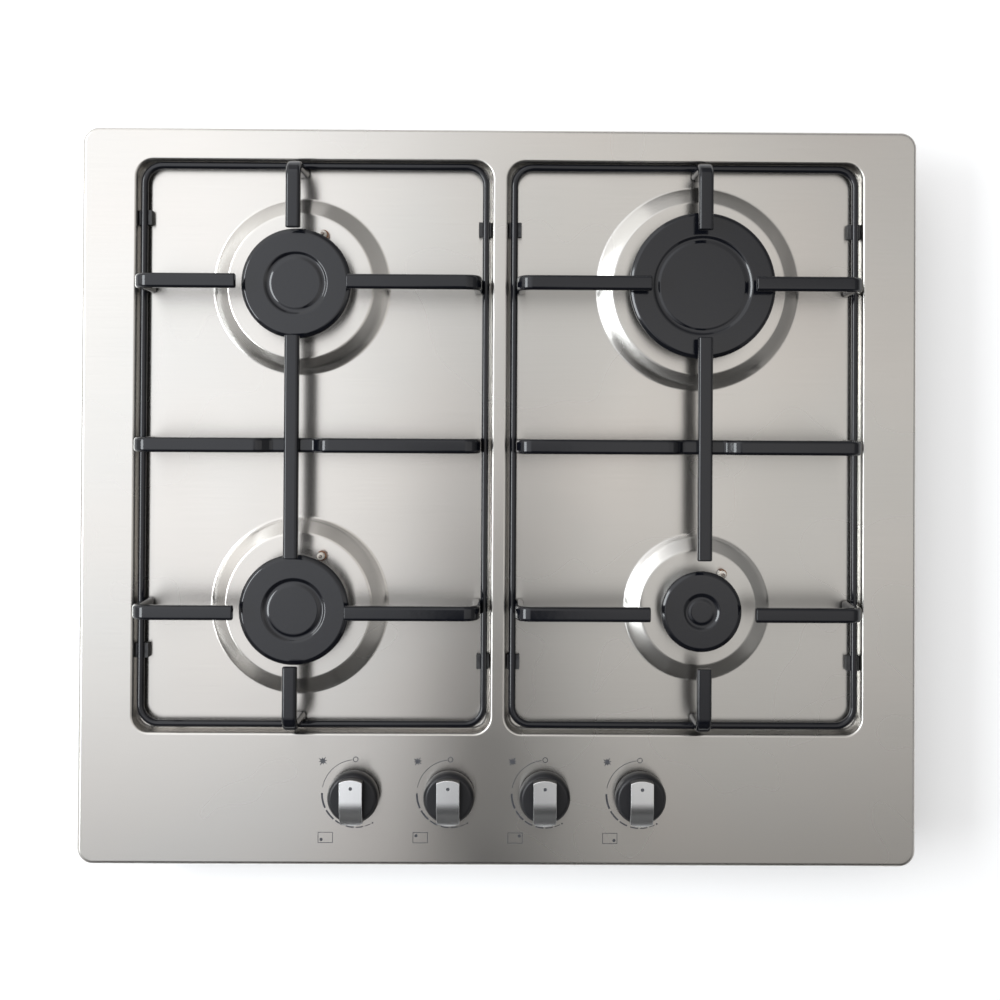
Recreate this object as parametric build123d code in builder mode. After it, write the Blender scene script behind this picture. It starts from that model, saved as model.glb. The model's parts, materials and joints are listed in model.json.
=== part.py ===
from build123d import *
import math
import os
from collections import namedtuple

os.makedirs("parts", exist_ok=True)

# =====================================================================================
# Driving dimensions, in millimetres. +X is right, +Y is to the rear, +Z is up.
# The origin lies under the middle of the hob, on the underside of its tray.
# =====================================================================================

# the whole hob and the worktop that it drops into
HOB_WIDTH = 580.0            # pressed top, left to right
HOB_DEPTH = 510.0            # pressed top, front to rear
BUILT_IN_DEPTH = 50.0        # worktop surface down to the tray's underside
RIM_RISE = 8.0               # worktop surface up to the flat rim
RIM_OVERLAP = 10.0           # rim past the worktop cut-out, each side
CUTOUT_CLEARANCE = 4.0       # cut-out's edge to the skirt, each side
ASSEMBLY_GAP = 0.15          # slip between sheets that slide together

# pressed stainless top
SHEET = 0.8
RIM_CORNER_R = 11.0
RIM_EDGE_R = 3.0
SIDE_BORDER = 37.5           # rim's edge to a well
REAR_BORDER = 22.0
FRONT_BORDER = 91.0
RIB_WIDTH = 10.0             # between the two wells
WELL_DEPTH = 9.0
WELL_DRAFT = 10.0            # degrees
WELL_CORNER_R = 12.0
WELL_LIP_R = 1.8
WELL_FLOOR_R = 3.0
PLATEAU_RISE = 7.0
PLATEAU_RUN = 11.0           # slope between the well's floor and a plateau
PLATEAU_EDGE_R = 2.5
SEAL_THICKNESS = 2.0
SEAL_INSET = 1.5
SEAL_JOINT = 0.1             # between the ends of two strips
SKIRT_DROP = 10.0            # skirt below the return flange
SKIRT_CORNER_R = 8.0

# base tray and what fastens the case
TRAY_SHEET = 0.8
TRAY_EDGE_R = 3.0
TRAY_WALL_TOP = 1.0          # above the worktop surface
NOTCH_WIDTH = 74.0           # raised floor in both rear corners, for the gas and mains entries
NOTCH_DEPTH = 70.0
NOTCH_RISE = 18.0
VENT_LENGTH = 40.0
VENT_WIDTH = 5.0
VENT_PITCH = 14.0
CASE_SCREW_R = 1.9
CASE_SCREW_LENGTH = 8.0
CASE_SCREW_HEAD_R = 3.6
CASE_SCREW_HEAD = 2.2
CLAMP_WIDTH = 22.0
CLAMP_SHEET = 1.5
CLAMP_REACH = 12.0
CLAMP_HEIGHT = 32.0
CLAMP_FOOT_Z = 5.0
CLAMP_PLACES = (-150.0, 105.0)
SCREW_HOLE_GAP = 0.05        # thread to its hole
CLEAR_HOLE_GAP = 0.3         # shank to a clearance hole

# burners
BURNER_OUTSET = 9.75         # burners stand outside the wells' middle lines
BURNER_SPACING_SHARE = 0.5592  # front row to rear row, as a share of the well's length
CUP_FLANGE = 3.0
CUP_WALL = 2.5
CUP_BOWL_DEPTH = 17.0
CUP_BOSS_R = 9.0
CUP_BOSS_DROP = 20.0         # below the bowl's floor
CUP_WAY_R = 2.4
NECK_STAND = 1.5             # cup's neck above the plateau
CROWN_WALL = 4.0
CROWN_STAND = 14.0           # crown's top above the plateau
PORT_WIDTH = 2.2
PORT_DEPTH = 5.0
CAP_THICKNESS = 6.0
CAP_BEVEL = 2.6
CAP_DROP = 3.5               # locating ring below the cap
LIFT_GAP = 0.3               # parts that lift off one another
CUP_SCREW_R = 2.0
CUP_SCREW_HEAD_R = 3.4
CUP_SCREW_HEAD = 2.2
CUP_SCREW_LENGTH = 6.0
ELECTRODE_R = 2.5
ELECTRODE_HOLE_R = 3.4
ELECTRODE_PIN_R = 1.1
ELECTRODE_STAND = 9.0        # ceramic above the plateau
PIN_STAND = 2.5              # pin above the ceramic
ELECTRODE_SHOULDER_R = 4.2
INJECTOR_R = 3.0
INJECTOR_HEX = 7.0

Burner = namedtuple("Burner", "name x y cap_r overhang plateau_r throat_r spark_deg spark_gap ports jet_r groove_r")

# gas taps, pipes and manifold
TAP_PITCH = 65.5
TAP_INSET = 50.0             # rim's front edge to the tap axes
TAP_WIDTH = 26.0
TAP_HALF_HEIGHT = 14.0       # above and below the gas ports
PORT_Z = 27.0                # every gas joint lies at this height
PLUG_TOP_R = 7.1
PLUG_BOTTOM_R = 6.0
PLUG_CLEARANCE = 0.05
PLUG_FLOOR = 3.0             # tap body under the plug
GASWAY_R = 2.5
LOW_FLAME_R = 0.5
TAP_TURN = 210.0             # degrees, off to the lowest flame
SPINDLE_R = 4.0
SPINDLE_FLANGE_R = 6.8
SPINDLE_FLANGE = 2.0
SPINDLE_D_FLAT = 2.0         # flat's distance from the axis
SPINDLE_CLEARANCE = 0.08
TANG_THICKNESS = 3.8
TANG_WIDTH = 9.0
TANG_LENGTH = 11.5
PUSH_TRAVEL = 3.0
BONNET_R = 8.6
BONNET_BORE_R = 7.2
BONNET_HEIGHT = 10.0
BONNET_TOP = 1.5
LUG_R = 3.4
LUG_OFFSET = 8.9             # from the tap's axis, along X and Y
TAP_SCREW_R = 1.7
TAP_SCREW_HEAD_R = 2.9
TAP_SCREW_HEAD = 2.0
LUG_SCREW_LENGTH = 12.0
SWITCH_WIDTH = 27.0
SWITCH_HEIGHT = 5.0
SWITCH_BORE_R = 5.5
COLLAR_R = 5.0
COLLAR_HEIGHT = 1.3
MANIFOLD_SIZE = 14.0
MANIFOLD_WALL = 1.5
MANIFOLD_OVERRUN = 20.0      # past the outer taps
STRAP_THICKNESS = 1.5
STRAP_WIDTH = 16.0
STRAP_SCREW_Z = 10.5         # above and below the ports
STRAP_SCREW_LENGTH = 21.5
STUB_R = 5.0
STUB_LENGTH = 8.0
NUT_HEX = 14.0
NUT_LENGTH = 12.0
NUT_CLEARANCE = 0.05
PIPE_R = 4.0
PIPE_BORE_R = 3.0
PIPE_BEND_R = 20.0
SUPPLY_R = 6.0
SUPPLY_BORE_R = 5.0
SUPPLY_BEND_R = 30.0
SUPPLY_WALL_GAP = 40.0       # supply pipe and gas inlet to the tray's side wall
INLET_THREAD_R = 10.4775     # G 1/2 male
INLET_THREAD_LENGTH = 12.0
INLET_SHANK_R = 11.0          # M22 thread above it, for the back nut
INLET_BORE_R = 6.5
INLET_BODY_R = 12.0
INLET_BODY_TOP = 9.0         # above the supply pipe
INLET_HEX = 26.0
INLET_SETBACK = 36.0         # thread's axis to the tray's rear wall

# knobs
KNOB_R = 17.5
KNOB_FOOT_R = 18.0
KNOB_GAP = 3.6               # rim to the knob's foot
KNOB_BASE_TOP = 11.0         # all three above the rim
KNOB_TOP = 24.0
GRIP_FRONT_Z = 15.5
GRIP_WIDTH = 16.0
GRIP_PLATE = 1.0
GRIP_END_R = 17.2
GRIP_REAR_R = 16.2
GRIP_CURVE_START = -2.0      # where the grip's top starts to fall to the front
KNOB_RECESS_R = 16.0
KNOB_RECESS = 5.0
KNOB_BOSS_R = 6.5
KNOB_BOSS_LIFT = 2.4         # boss above the knob's foot
SPINDLE_IN_KNOB = 18.0       # spindle's top above the rim
DOT_R = 1.2
DOT_INSET = 6.5              # from the grip's rear end
KNOB_SEAL_R = 8.0
KNOB_SEAL_BORE_R = 5.6
KNOB_SEAL_HEIGHT = 2.0

# pan supports
WIRE_R = 2.5
WIRE_CLEARANCE_X = 2.4       # wire to the well's edge
WIRE_CLEARANCE_Y = 2.25
WIRE_CORNER_R = 13.0
WIRE_LIFT = 5.0              # wire's axis above the well's floor
SUPPORT_SHIFT = 1.0          # the loose supports lie pushed to the rear
BAR_WIDTH = 10.0
BAR_THICKNESS = 6.0
BAR_EDGE_R = 1.8
BAR_TOP = 42.0               # above the well's floor
BEND_R = 8.0                 # bar's centre line
JOGGLE_HALF = 23.0           # where the cross bar starts to dip
JOGGLE_RUN = 8.0
WELD_BITE = 0.6              # leg coped over the wire
FINGER_GAP_R = 36.0          # burner's axis to a finger's tip
FOOT_LENGTH = 10.0
FOOT_INNER = 5.0             # wire's axis to the foot's inner face
FOOT_OUTER = 3.6
FOOT_BEVEL = 3.0
FOOT_GRIP = 0.5              # foot above the wire's axis
FOOT_SHARE = 0.776           # of the wire's half length, from its middle to a foot
FOOT_SLIP = 7.0              # the outer left feet have slid to the rear

# ignition and mains
LEAD_R = 2.0
MODULE_SIZE = (62.0, 44.0, 24.0)
MODULE_WALL_GAP = 20.0       # module to the tray's left wall
MODULE_FRONT_GAP = 32.0      # module to the tray's front wall
LEAD_PITCH = 12.0
BOOT_R = 3.8
BOOT_LENGTH = 18.0
BOOT_OVERLAP = 4.0           # boot over the electrode's pin
CHAIN_R = 1.5
TERMINAL_SIZE = (40.0, 24.0, 18.0)
TERMINAL_GAP = 16.0          # terminal block to the raised corner
MAINS_WALL_GAP = 40.0        # mains entry to the tray's left wall
MAINS_LEAD_R = 3.0
GLAND_BORE_R = 3.6
GLAND_R = 7.0
GLAND_FLANGE_R = 9.5
GLAND_LENGTH = 20.0
GLAND_FLANGE = 3.0

# =====================================================================================
# Levels and places that follow from them
# =====================================================================================

WORKTOP_Z = BUILT_IN_DEPTH
RIM_Z = WORKTOP_Z + RIM_RISE
LIP_Z = WORKTOP_Z + SEAL_THICKNESS
SKIRT_Z = LIP_Z - SKIRT_DROP
WELL_Z = RIM_Z - WELL_DEPTH
PLATEAU_Z = WELL_Z + PLATEAU_RISE
UNDER_RIM_Z = RIM_Z - SHEET
UNDER_PLATEAU_Z = PLATEAU_Z - SHEET

SKIRT_WIDTH = HOB_WIDTH - 2 * (RIM_OVERLAP + CUTOUT_CLEARANCE)
SKIRT_DEPTH = HOB_DEPTH - 2 * (RIM_OVERLAP + CUTOUT_CLEARANCE)
TRAY_WIDTH = SKIRT_WIDTH - 2 * (SHEET + ASSEMBLY_GAP)
TRAY_DEPTH = SKIRT_DEPTH - 2 * (SHEET + ASSEMBLY_GAP)
TRAY_CORNER_R = SKIRT_CORNER_R - SHEET - ASSEMBLY_GAP
TRAY_INNER_X = TRAY_WIDTH / 2 - TRAY_SHEET
TRAY_INNER_Y = TRAY_DEPTH / 2 - TRAY_SHEET

WELL_WIDTH = (HOB_WIDTH - 2 * SIDE_BORDER - RIB_WIDTH) / 2
WELL_LENGTH = HOB_DEPTH - FRONT_BORDER - REAR_BORDER
WELL_X = (RIB_WIDTH + WELL_WIDTH) / 2
WELL_Y = (FRONT_BORDER - REAR_BORDER) / 2
BURNER_X = WELL_X + BURNER_OUTSET
BURNER_SPACING = BURNER_SPACING_SHARE * WELL_LENGTH
ROW_Y = (BURNER_SPACING / 2, -BURNER_SPACING / 2)

NECK_TOP_Z = PLATEAU_Z + NECK_STAND
CROWN_TOP_Z = PLATEAU_Z + CROWN_STAND
CAP_TOP_Z = CROWN_TOP_Z + CAP_THICKNESS

TAP_Y = -HOB_DEPTH / 2 + TAP_INSET
TAP_XS = [(i - 1.5) * TAP_PITCH for i in range(4)]
TAP_TOP_Z = PORT_Z + TAP_HALF_HEIGHT
TAP_BASE_Z = PORT_Z - TAP_HALF_HEIGHT
MANIFOLD_Y = TAP_Y - TAP_WIDTH / 2 - MANIFOLD_SIZE / 2
BONNET_TOP_Z = TAP_TOP_Z + BONNET_HEIGHT
FLANGE_TOP_Z = BONNET_TOP_Z - BONNET_TOP
SWITCH_Z = BONNET_TOP_Z

WIRE_Z = WELL_Z + WIRE_LIFT
BAR_Z = WELL_Z + BAR_TOP - BAR_THICKNESS / 2
SUPPORT_Y = WELL_Y + SUPPORT_SHIFT
WIRE_HALF_X = WELL_WIDTH / 2 - WIRE_CLEARANCE_X - WIRE_R
WIRE_HALF_Y = WELL_LENGTH / 2 - WIRE_CLEARANCE_Y - WIRE_R
LEG_HALF_X = WIRE_HALF_X - WIRE_R + WELD_BITE - BAR_THICKNESS / 2
LEG_HALF_Y = WIRE_HALF_Y - WIRE_R + WELD_BITE - BAR_THICKNESS / 2
LEG_FOOT_Z = WIRE_Z - WIRE_R

BURNERS = [
    Burner("rear_left", -BURNER_X, WELL_Y + ROW_Y[0], 37.5, 3.5, 61.5, 9.5, 65.0, 1.5, 32, 0.48, 21.5),
    Burner("rear_right", BURNER_X, WELL_Y + ROW_Y[0], 50.0, 8.0, 71.0, 12.0, 65.0, -3.0, 40, 0.57, 34.0),
    Burner("front_left", -BURNER_X, WELL_Y + ROW_Y[1], 37.5, 3.5, 61.5, 9.5, 65.0, 1.5, 32, 0.48, 21.5),
    Burner("front_right", BURNER_X, WELL_Y + ROW_Y[1], 27.5, 3.5, 51.0, 6.0, 56.0, 1.5, 20, 0.36, 12.3),
]
SUPPORT_SIDES = {"left": -1, "right": 1}
TAP_BURNERS = ["front_left", "rear_left", "rear_right", "front_right"]


def crown_radius(burner):
    return burner.cap_r - burner.overhang


def screw_circle(burner):
    return crown_radius(burner) - 5.5


def neck_radius(burner):
    return screw_circle(burner) - 5.0


def spark_place(burner):
    reach = burner.cap_r + burner.spark_gap
    angle = math.radians(burner.spark_deg)
    return (burner.x + reach * math.cos(angle), burner.y + reach * math.sin(angle))


def cup_screw_angles(burner):
    return [burner.spark_deg + 60.0 + 120.0 * i for i in range(3)]


def burner_named(name):
    return next(burner for burner in BURNERS if burner.name == name)


def rear_plane(x, y, z):
    """Upright plane whose normal points to the rear, with local Y upwards."""
    return Plane((x, y, z), x_dir=(-1, 0, 0), z_dir=(0, 1, 0))


def front_plane(x, y, z):
    """Upright plane whose normal points to the front, with local Y upwards."""
    return Plane((x, y, z), x_dir=(1, 0, 0), z_dir=(0, -1, 0))


def save(piece, name):
    """Labels a finished piece and writes it."""
    piece.part.label = name
    export_step(piece.part, f"parts/{name}.step")


def save_at(shape, name, places):
    """Writes one node that holds a copy of shape at each place."""
    with BuildPart() as piece:
        with Locations(*places):
            add(shape)
    save(piece, name)


def swept_tube(points, radii, outer_r, bore_r=0.0):
    """Round tube or solid lead along straight runs joined by tangent arcs."""
    with BuildPart() as tube:
        with BuildLine() as route:
            if len(points) == 2:
                Line(*points)
            else:
                FilletPolyline(*points, radius=radii)
        with BuildSketch(Plane(route.line @ 0, z_dir=route.line % 0)):
            Circle(outer_r)
            if bore_r:
                Circle(bore_r, mode=Mode.SUBTRACT)
        sweep(path=route.line)
    return tube.part


def pan_screw(shank_r, length, head_r, head_height):
    """Cross-recess screw: the head sits on the origin plane and the shank hangs below."""
    with BuildPart() as screw:
        with BuildSketch(Plane.XZ):
            with BuildLine():
                Polyline(
                    (0, -length),
                    (shank_r * 0.5, -length),
                    (shank_r, -length + shank_r),
                    (shank_r, 0),
                    (head_r, 0),
                    (head_r, head_height * 0.45),
                    (head_r * 0.6, head_height),
                    (0, head_height),
                    close=True,
                )
            make_face()
        revolve(axis=Axis.Z)
        with BuildSketch(Plane.XY.offset(head_height)):
            Rectangle(head_r * 1.1, head_r * 0.3)
            Rectangle(head_r * 0.3, head_r * 1.1)
        extrude(amount=-head_height * 0.55, mode=Mode.SUBTRACT)
    return screw.part


# =====================================================================================
# Pressed top: one stainless sheet with its rim, two wells, four plateaus and a hemmed edge
# =====================================================================================

def edges_at(edges, z):
    return edges.filter_by_position(Axis.Z, z - 0.01, z + 0.01)


def pressed_form(inset):
    """Everything under the sheet's outer skin, taken in by inset along the skin's normal."""
    spread = inset / math.cos(math.radians(WELL_DRAFT))
    slope = math.atan2(PLATEAU_RISE, PLATEAU_RUN)
    shrink = inset * math.tan(slope / 2)
    with BuildPart() as form:
        with BuildSketch(Plane.XY.offset(SKIRT_Z)):
            RectangleRounded(HOB_WIDTH - 2 * inset, HOB_DEPTH - 2 * inset, RIM_CORNER_R - inset)
        extrude(amount=RIM_Z - inset - SKIRT_Z)
        fillet(form.faces().sort_by(Axis.Z)[-1].edges(), RIM_EDGE_R - inset)
        with BuildSketch(Plane.XY.offset(RIM_Z)):
            with Locations((-WELL_X, WELL_Y), (WELL_X, WELL_Y)):
                RectangleRounded(WELL_WIDTH + 2 * spread, WELL_LENGTH + 2 * spread, WELL_CORNER_R + spread)
        extrude(amount=-(WELL_DEPTH + inset), taper=WELL_DRAFT, mode=Mode.SUBTRACT)
        rim = form.faces().sort_by(Axis.Z)[-1]
        fillet([edge for wire in rim.inner_wires() for edge in wire.edges()], WELL_LIP_R - inset)
        floor_edges = edges_at(form.edges(), WELL_Z - inset)
        fillet(floor_edges, WELL_FLOOR_R + inset)
        for burner in BURNERS:
            foot_r = burner.plateau_r - shrink
            with Locations((burner.x, burner.y, WELL_Z - inset)):
                Cone(
                    foot_r,
                    foot_r - PLATEAU_RUN,
                    PLATEAU_RISE,
                    align=(Align.CENTER, Align.CENTER, Align.MIN),
                )
        circles = form.edges().filter_by(GeomType.CIRCLE)
        crests = edges_at(circles, PLATEAU_Z - inset).filter_by(lambda e: e.radius > 20)
        fillet(crests, PLATEAU_EDGE_R - inset)
        circles = form.edges().filter_by(GeomType.CIRCLE)
        feet = edges_at(circles, WELL_Z - inset).filter_by(lambda e: e.radius > 30)
        fillet(feet, PLATEAU_EDGE_R + inset)
    return form.part


CASE_SCREW_Z = SKIRT_Z + CASE_SCREW_HEAD_R + 0.4
CASE_SCREWS_X = [-0.66 * TRAY_INNER_Y, 0.0, 0.66 * TRAY_INNER_Y]
CASE_SCREWS_Y = [-0.55 * TRAY_INNER_X, 0.55 * TRAY_INNER_X]


def case_screw_places(half_width, half_depth):
    """Places on the four walls, with local +Z pointing outwards."""
    places = []
    for side in (-1, 1):
        for y in CASE_SCREWS_X:
            places.append(Location(Plane((side * half_width, y, CASE_SCREW_Z), z_dir=(side, 0, 0))))
        for x in CASE_SCREWS_Y:
            places.append(Location(Plane((x, side * half_depth, CASE_SCREW_Z), z_dir=(0, side, 0))))
    return places


def clamp_screw_places(half_width):
    z = CLAMP_FOOT_Z + CLAMP_HEIGHT / 2
    return [
        Location(Plane((side * half_width, y, z), z_dir=(side, 0, 0)))
        for side in (-1, 1)
        for y in CLAMP_PLACES
    ]


def lug_places(z):
    places = []
    for x in TAP_XS:
        places.append((x + LUG_OFFSET, TAP_Y - LUG_OFFSET, z))
        places.append((x - LUG_OFFSET, TAP_Y + LUG_OFFSET, z))
    return places


with BuildPart() as hob_top:
    add(pressed_form(0.0))
    add(pressed_form(SHEET), mode=Mode.SUBTRACT)
    # edge cut off below the return flange, corners and all
    with BuildSketch(Plane.XY.offset(SKIRT_Z)):
        Rectangle(HOB_WIDTH + 4 * SHEET, HOB_DEPTH + 4 * SHEET)
        RectangleRounded(SKIRT_WIDTH, SKIRT_DEPTH, SKIRT_CORNER_R, mode=Mode.SUBTRACT)
    extrude(amount=LIP_Z - SKIRT_Z, mode=Mode.SUBTRACT)
    with BuildSketch(Plane.XY.offset(LIP_Z)):
        RectangleRounded(HOB_WIDTH, HOB_DEPTH, RIM_CORNER_R)
        RectangleRounded(
            SKIRT_WIDTH - 2 * SHEET,
            SKIRT_DEPTH - 2 * SHEET,
            SKIRT_CORNER_R - SHEET,
            mode=Mode.SUBTRACT,
        )
    extrude(amount=SHEET)
    with BuildSketch(Plane.XY.offset(SKIRT_Z)):
        RectangleRounded(SKIRT_WIDTH, SKIRT_DEPTH, SKIRT_CORNER_R)
        RectangleRounded(
            SKIRT_WIDTH - 2 * SHEET,
            SKIRT_DEPTH - 2 * SHEET,
            SKIRT_CORNER_R - SHEET,
            mode=Mode.SUBTRACT,
        )
    extrude(amount=LIP_Z - SKIRT_Z)
    # burner, electrode and screw holes in the plateaus
    with BuildSketch(Plane.XY.offset(UNDER_PLATEAU_Z - 1)):
        for burner in BURNERS:
            with Locations((burner.x, burner.y)):
                Circle(neck_radius(burner) + LIFT_GAP)
            with Locations(spark_place(burner)):
                Circle(ELECTRODE_HOLE_R)
            with Locations((burner.x, burner.y)):
                for angle in cup_screw_angles(burner):
                    with PolarLocations(screw_circle(burner), 1, start_angle=angle):
                        Circle(CUP_SCREW_R + CLEAR_HOLE_GAP)
    extrude(amount=SHEET + 2, mode=Mode.SUBTRACT)
    # spindle and tap screw holes in the front strip
    with BuildSketch(Plane.XY.offset(UNDER_RIM_Z - 1)):
        with Locations(*[(x, TAP_Y) for x in TAP_XS]):
            Circle(COLLAR_R + 1.5)
        with Locations(*[place[:2] for place in lug_places(0)]):
            Circle(TAP_SCREW_R + CLEAR_HOLE_GAP)
    extrude(amount=SHEET + 2, mode=Mode.SUBTRACT)
    # screw holes in the skirt
    with Locations(*case_screw_places(SKIRT_WIDTH / 2, SKIRT_DEPTH / 2)):
        Cylinder(CASE_SCREW_R + CLEAR_HOLE_GAP, 4 * SHEET, mode=Mode.SUBTRACT)
save(hob_top, "hob_top")

# four foam strips between the rim and the worktop, from the cut-out's edge outwards: full length at
# front and rear, the others between
SEAL_INNER_X = HOB_WIDTH / 2 - RIM_OVERLAP
SEAL_INNER_Y = HOB_DEPTH / 2 - RIM_OVERLAP
with BuildPart() as rim_seal:
    for side in (-1, 1):
        seal_width = HOB_DEPTH / 2 - SEAL_INSET - SEAL_INNER_Y
        with BuildSketch(Plane((0, side * (SEAL_INNER_Y + seal_width / 2), WORKTOP_Z))):
            Rectangle(HOB_WIDTH - 2 * SEAL_INSET, seal_width)
        extrude(amount=SEAL_THICKNESS)
        seal_width = HOB_WIDTH / 2 - SEAL_INSET - SEAL_INNER_X
        with BuildSketch(Plane((side * (SEAL_INNER_X + seal_width / 2), 0, WORKTOP_Z))):
            Rectangle(seal_width, 2 * SEAL_INNER_Y - 2 * SEAL_JOINT)
        extrude(amount=SEAL_THICKNESS)
    corners = rim_seal.edges().filter_by(Axis.Z).group_by(lambda e: abs(e.center().X) + abs(e.center().Y))[-1]
    fillet(corners, min(RIM_CORNER_R - SEAL_INSET, seal_width - SEAL_JOINT))
save(rim_seal, "rim_seal")

# =====================================================================================
# Base tray, fixing clamps and the screws that hold the case together
# =====================================================================================

INLET_X = TRAY_INNER_X - SUPPLY_WALL_GAP
INLET_Y = TRAY_INNER_Y - INLET_SETBACK
MAINS_X = -TRAY_INNER_X + MAINS_WALL_GAP
NOTCH_X = TRAY_WIDTH / 2 - NOTCH_WIDTH
NOTCH_Y = TRAY_DEPTH / 2 - NOTCH_DEPTH


def tray_block(inset, top_z):
    """Outside of the tray, or its inside when taken in by the sheet's thickness."""
    with BuildPart() as block:
        with BuildSketch(Plane.XY.offset(inset)):
            RectangleRounded(TRAY_WIDTH - 2 * inset, TRAY_DEPTH - 2 * inset, TRAY_CORNER_R - inset)
        extrude(amount=top_z - inset)
        fillet(block.faces().sort_by(Axis.Z)[0].edges(), TRAY_EDGE_R - inset)
        with BuildSketch(Plane.XY):
            for side in (-1, 1):
                with Locations((side * (NOTCH_X - inset + NOTCH_WIDTH), NOTCH_Y - inset + NOTCH_WIDTH)):
                    Rectangle(2 * NOTCH_WIDTH, 2 * NOTCH_WIDTH)
        extrude(amount=NOTCH_RISE + inset, mode=Mode.SUBTRACT)
    return block.part


with BuildPart() as base_tray:
    add(tray_block(0.0, WORKTOP_Z + TRAY_WALL_TOP))
    add(tray_block(TRAY_SHEET, WORKTOP_Z + TRAY_WALL_TOP + 1), mode=Mode.SUBTRACT)
    # air slots in the floor, in two groups beside the burner rows
    with BuildSketch(Plane.XY):
        with Locations((0, -60), (0, 110)):
            with GridLocations(VENT_PITCH, VENT_LENGTH + VENT_PITCH, 7, 2):
                SlotOverall(VENT_LENGTH, VENT_WIDTH, rotation=90)
    extrude(amount=TRAY_SHEET, mode=Mode.SUBTRACT)
    # gas inlet and cable gland holes in the raised corners
    with Locations((INLET_X, INLET_Y, NOTCH_RISE)):
        Cylinder(INLET_SHANK_R + CLEAR_HOLE_GAP, 4 * TRAY_SHEET, mode=Mode.SUBTRACT)
    with Locations((MAINS_X, INLET_Y, NOTCH_RISE)):
        Cylinder(GLAND_R + ASSEMBLY_GAP, 4 * TRAY_SHEET, mode=Mode.SUBTRACT)
    with Locations(*case_screw_places(TRAY_WIDTH / 2, TRAY_DEPTH / 2), *clamp_screw_places(TRAY_WIDTH / 2)):
        Cylinder(CASE_SCREW_R + SCREW_HOLE_GAP, 4 * TRAY_SHEET, mode=Mode.SUBTRACT)
save(base_tray, "base_tray")

with BuildPart() as clamp:
    with BuildSketch(Plane.XZ):
        with BuildLine():
            FilletPolyline(
                (CLAMP_SHEET, CLAMP_HEIGHT),
                (CLAMP_SHEET, CLAMP_SHEET),
                (CLAMP_REACH, CLAMP_SHEET),
                radius=CLAMP_SHEET,
            )
            Polyline(
                (CLAMP_REACH, CLAMP_SHEET),
                (CLAMP_REACH, 0),
                (0, 0),
                (0, CLAMP_HEIGHT),
                (CLAMP_SHEET, CLAMP_HEIGHT),
            )
        make_face()
    extrude(amount=CLAMP_WIDTH / 2, both=True)
    with BuildSketch(Plane.YZ):
        with Locations((0, CLAMP_HEIGHT / 2)):
            SlotOverall(CLAMP_HEIGHT / 2, 2 * (CASE_SCREW_R + CLEAR_HOLE_GAP), rotation=90)
    extrude(amount=2 * CLAMP_SHEET, mode=Mode.SUBTRACT)

clamp_places = []
for y in CLAMP_PLACES:
    clamp_places.append(Location((TRAY_WIDTH / 2, y, CLAMP_FOOT_Z)))
    clamp_places.append(Location((-TRAY_WIDTH / 2, y, CLAMP_FOOT_Z), (0, 0, 180)))
save_at(clamp.part, "fixing_clamps", clamp_places)

case_screw = pan_screw(CASE_SCREW_R, CASE_SCREW_LENGTH, CASE_SCREW_HEAD_R, CASE_SCREW_HEAD)
save_at(
    case_screw,
    "case_screws",
    case_screw_places(SKIRT_WIDTH / 2, SKIRT_DEPTH / 2) + clamp_screw_places(TRAY_WIDTH / 2 + CLAMP_SHEET),
)

# =====================================================================================
# Burners: cast cup under the plateau, brass injector, crown and enamelled cap
# =====================================================================================

BOWL_FLOOR_Z = NECK_TOP_Z - CUP_BOWL_DEPTH
INLET_REACH = CUP_BOSS_R + 7.0


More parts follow.
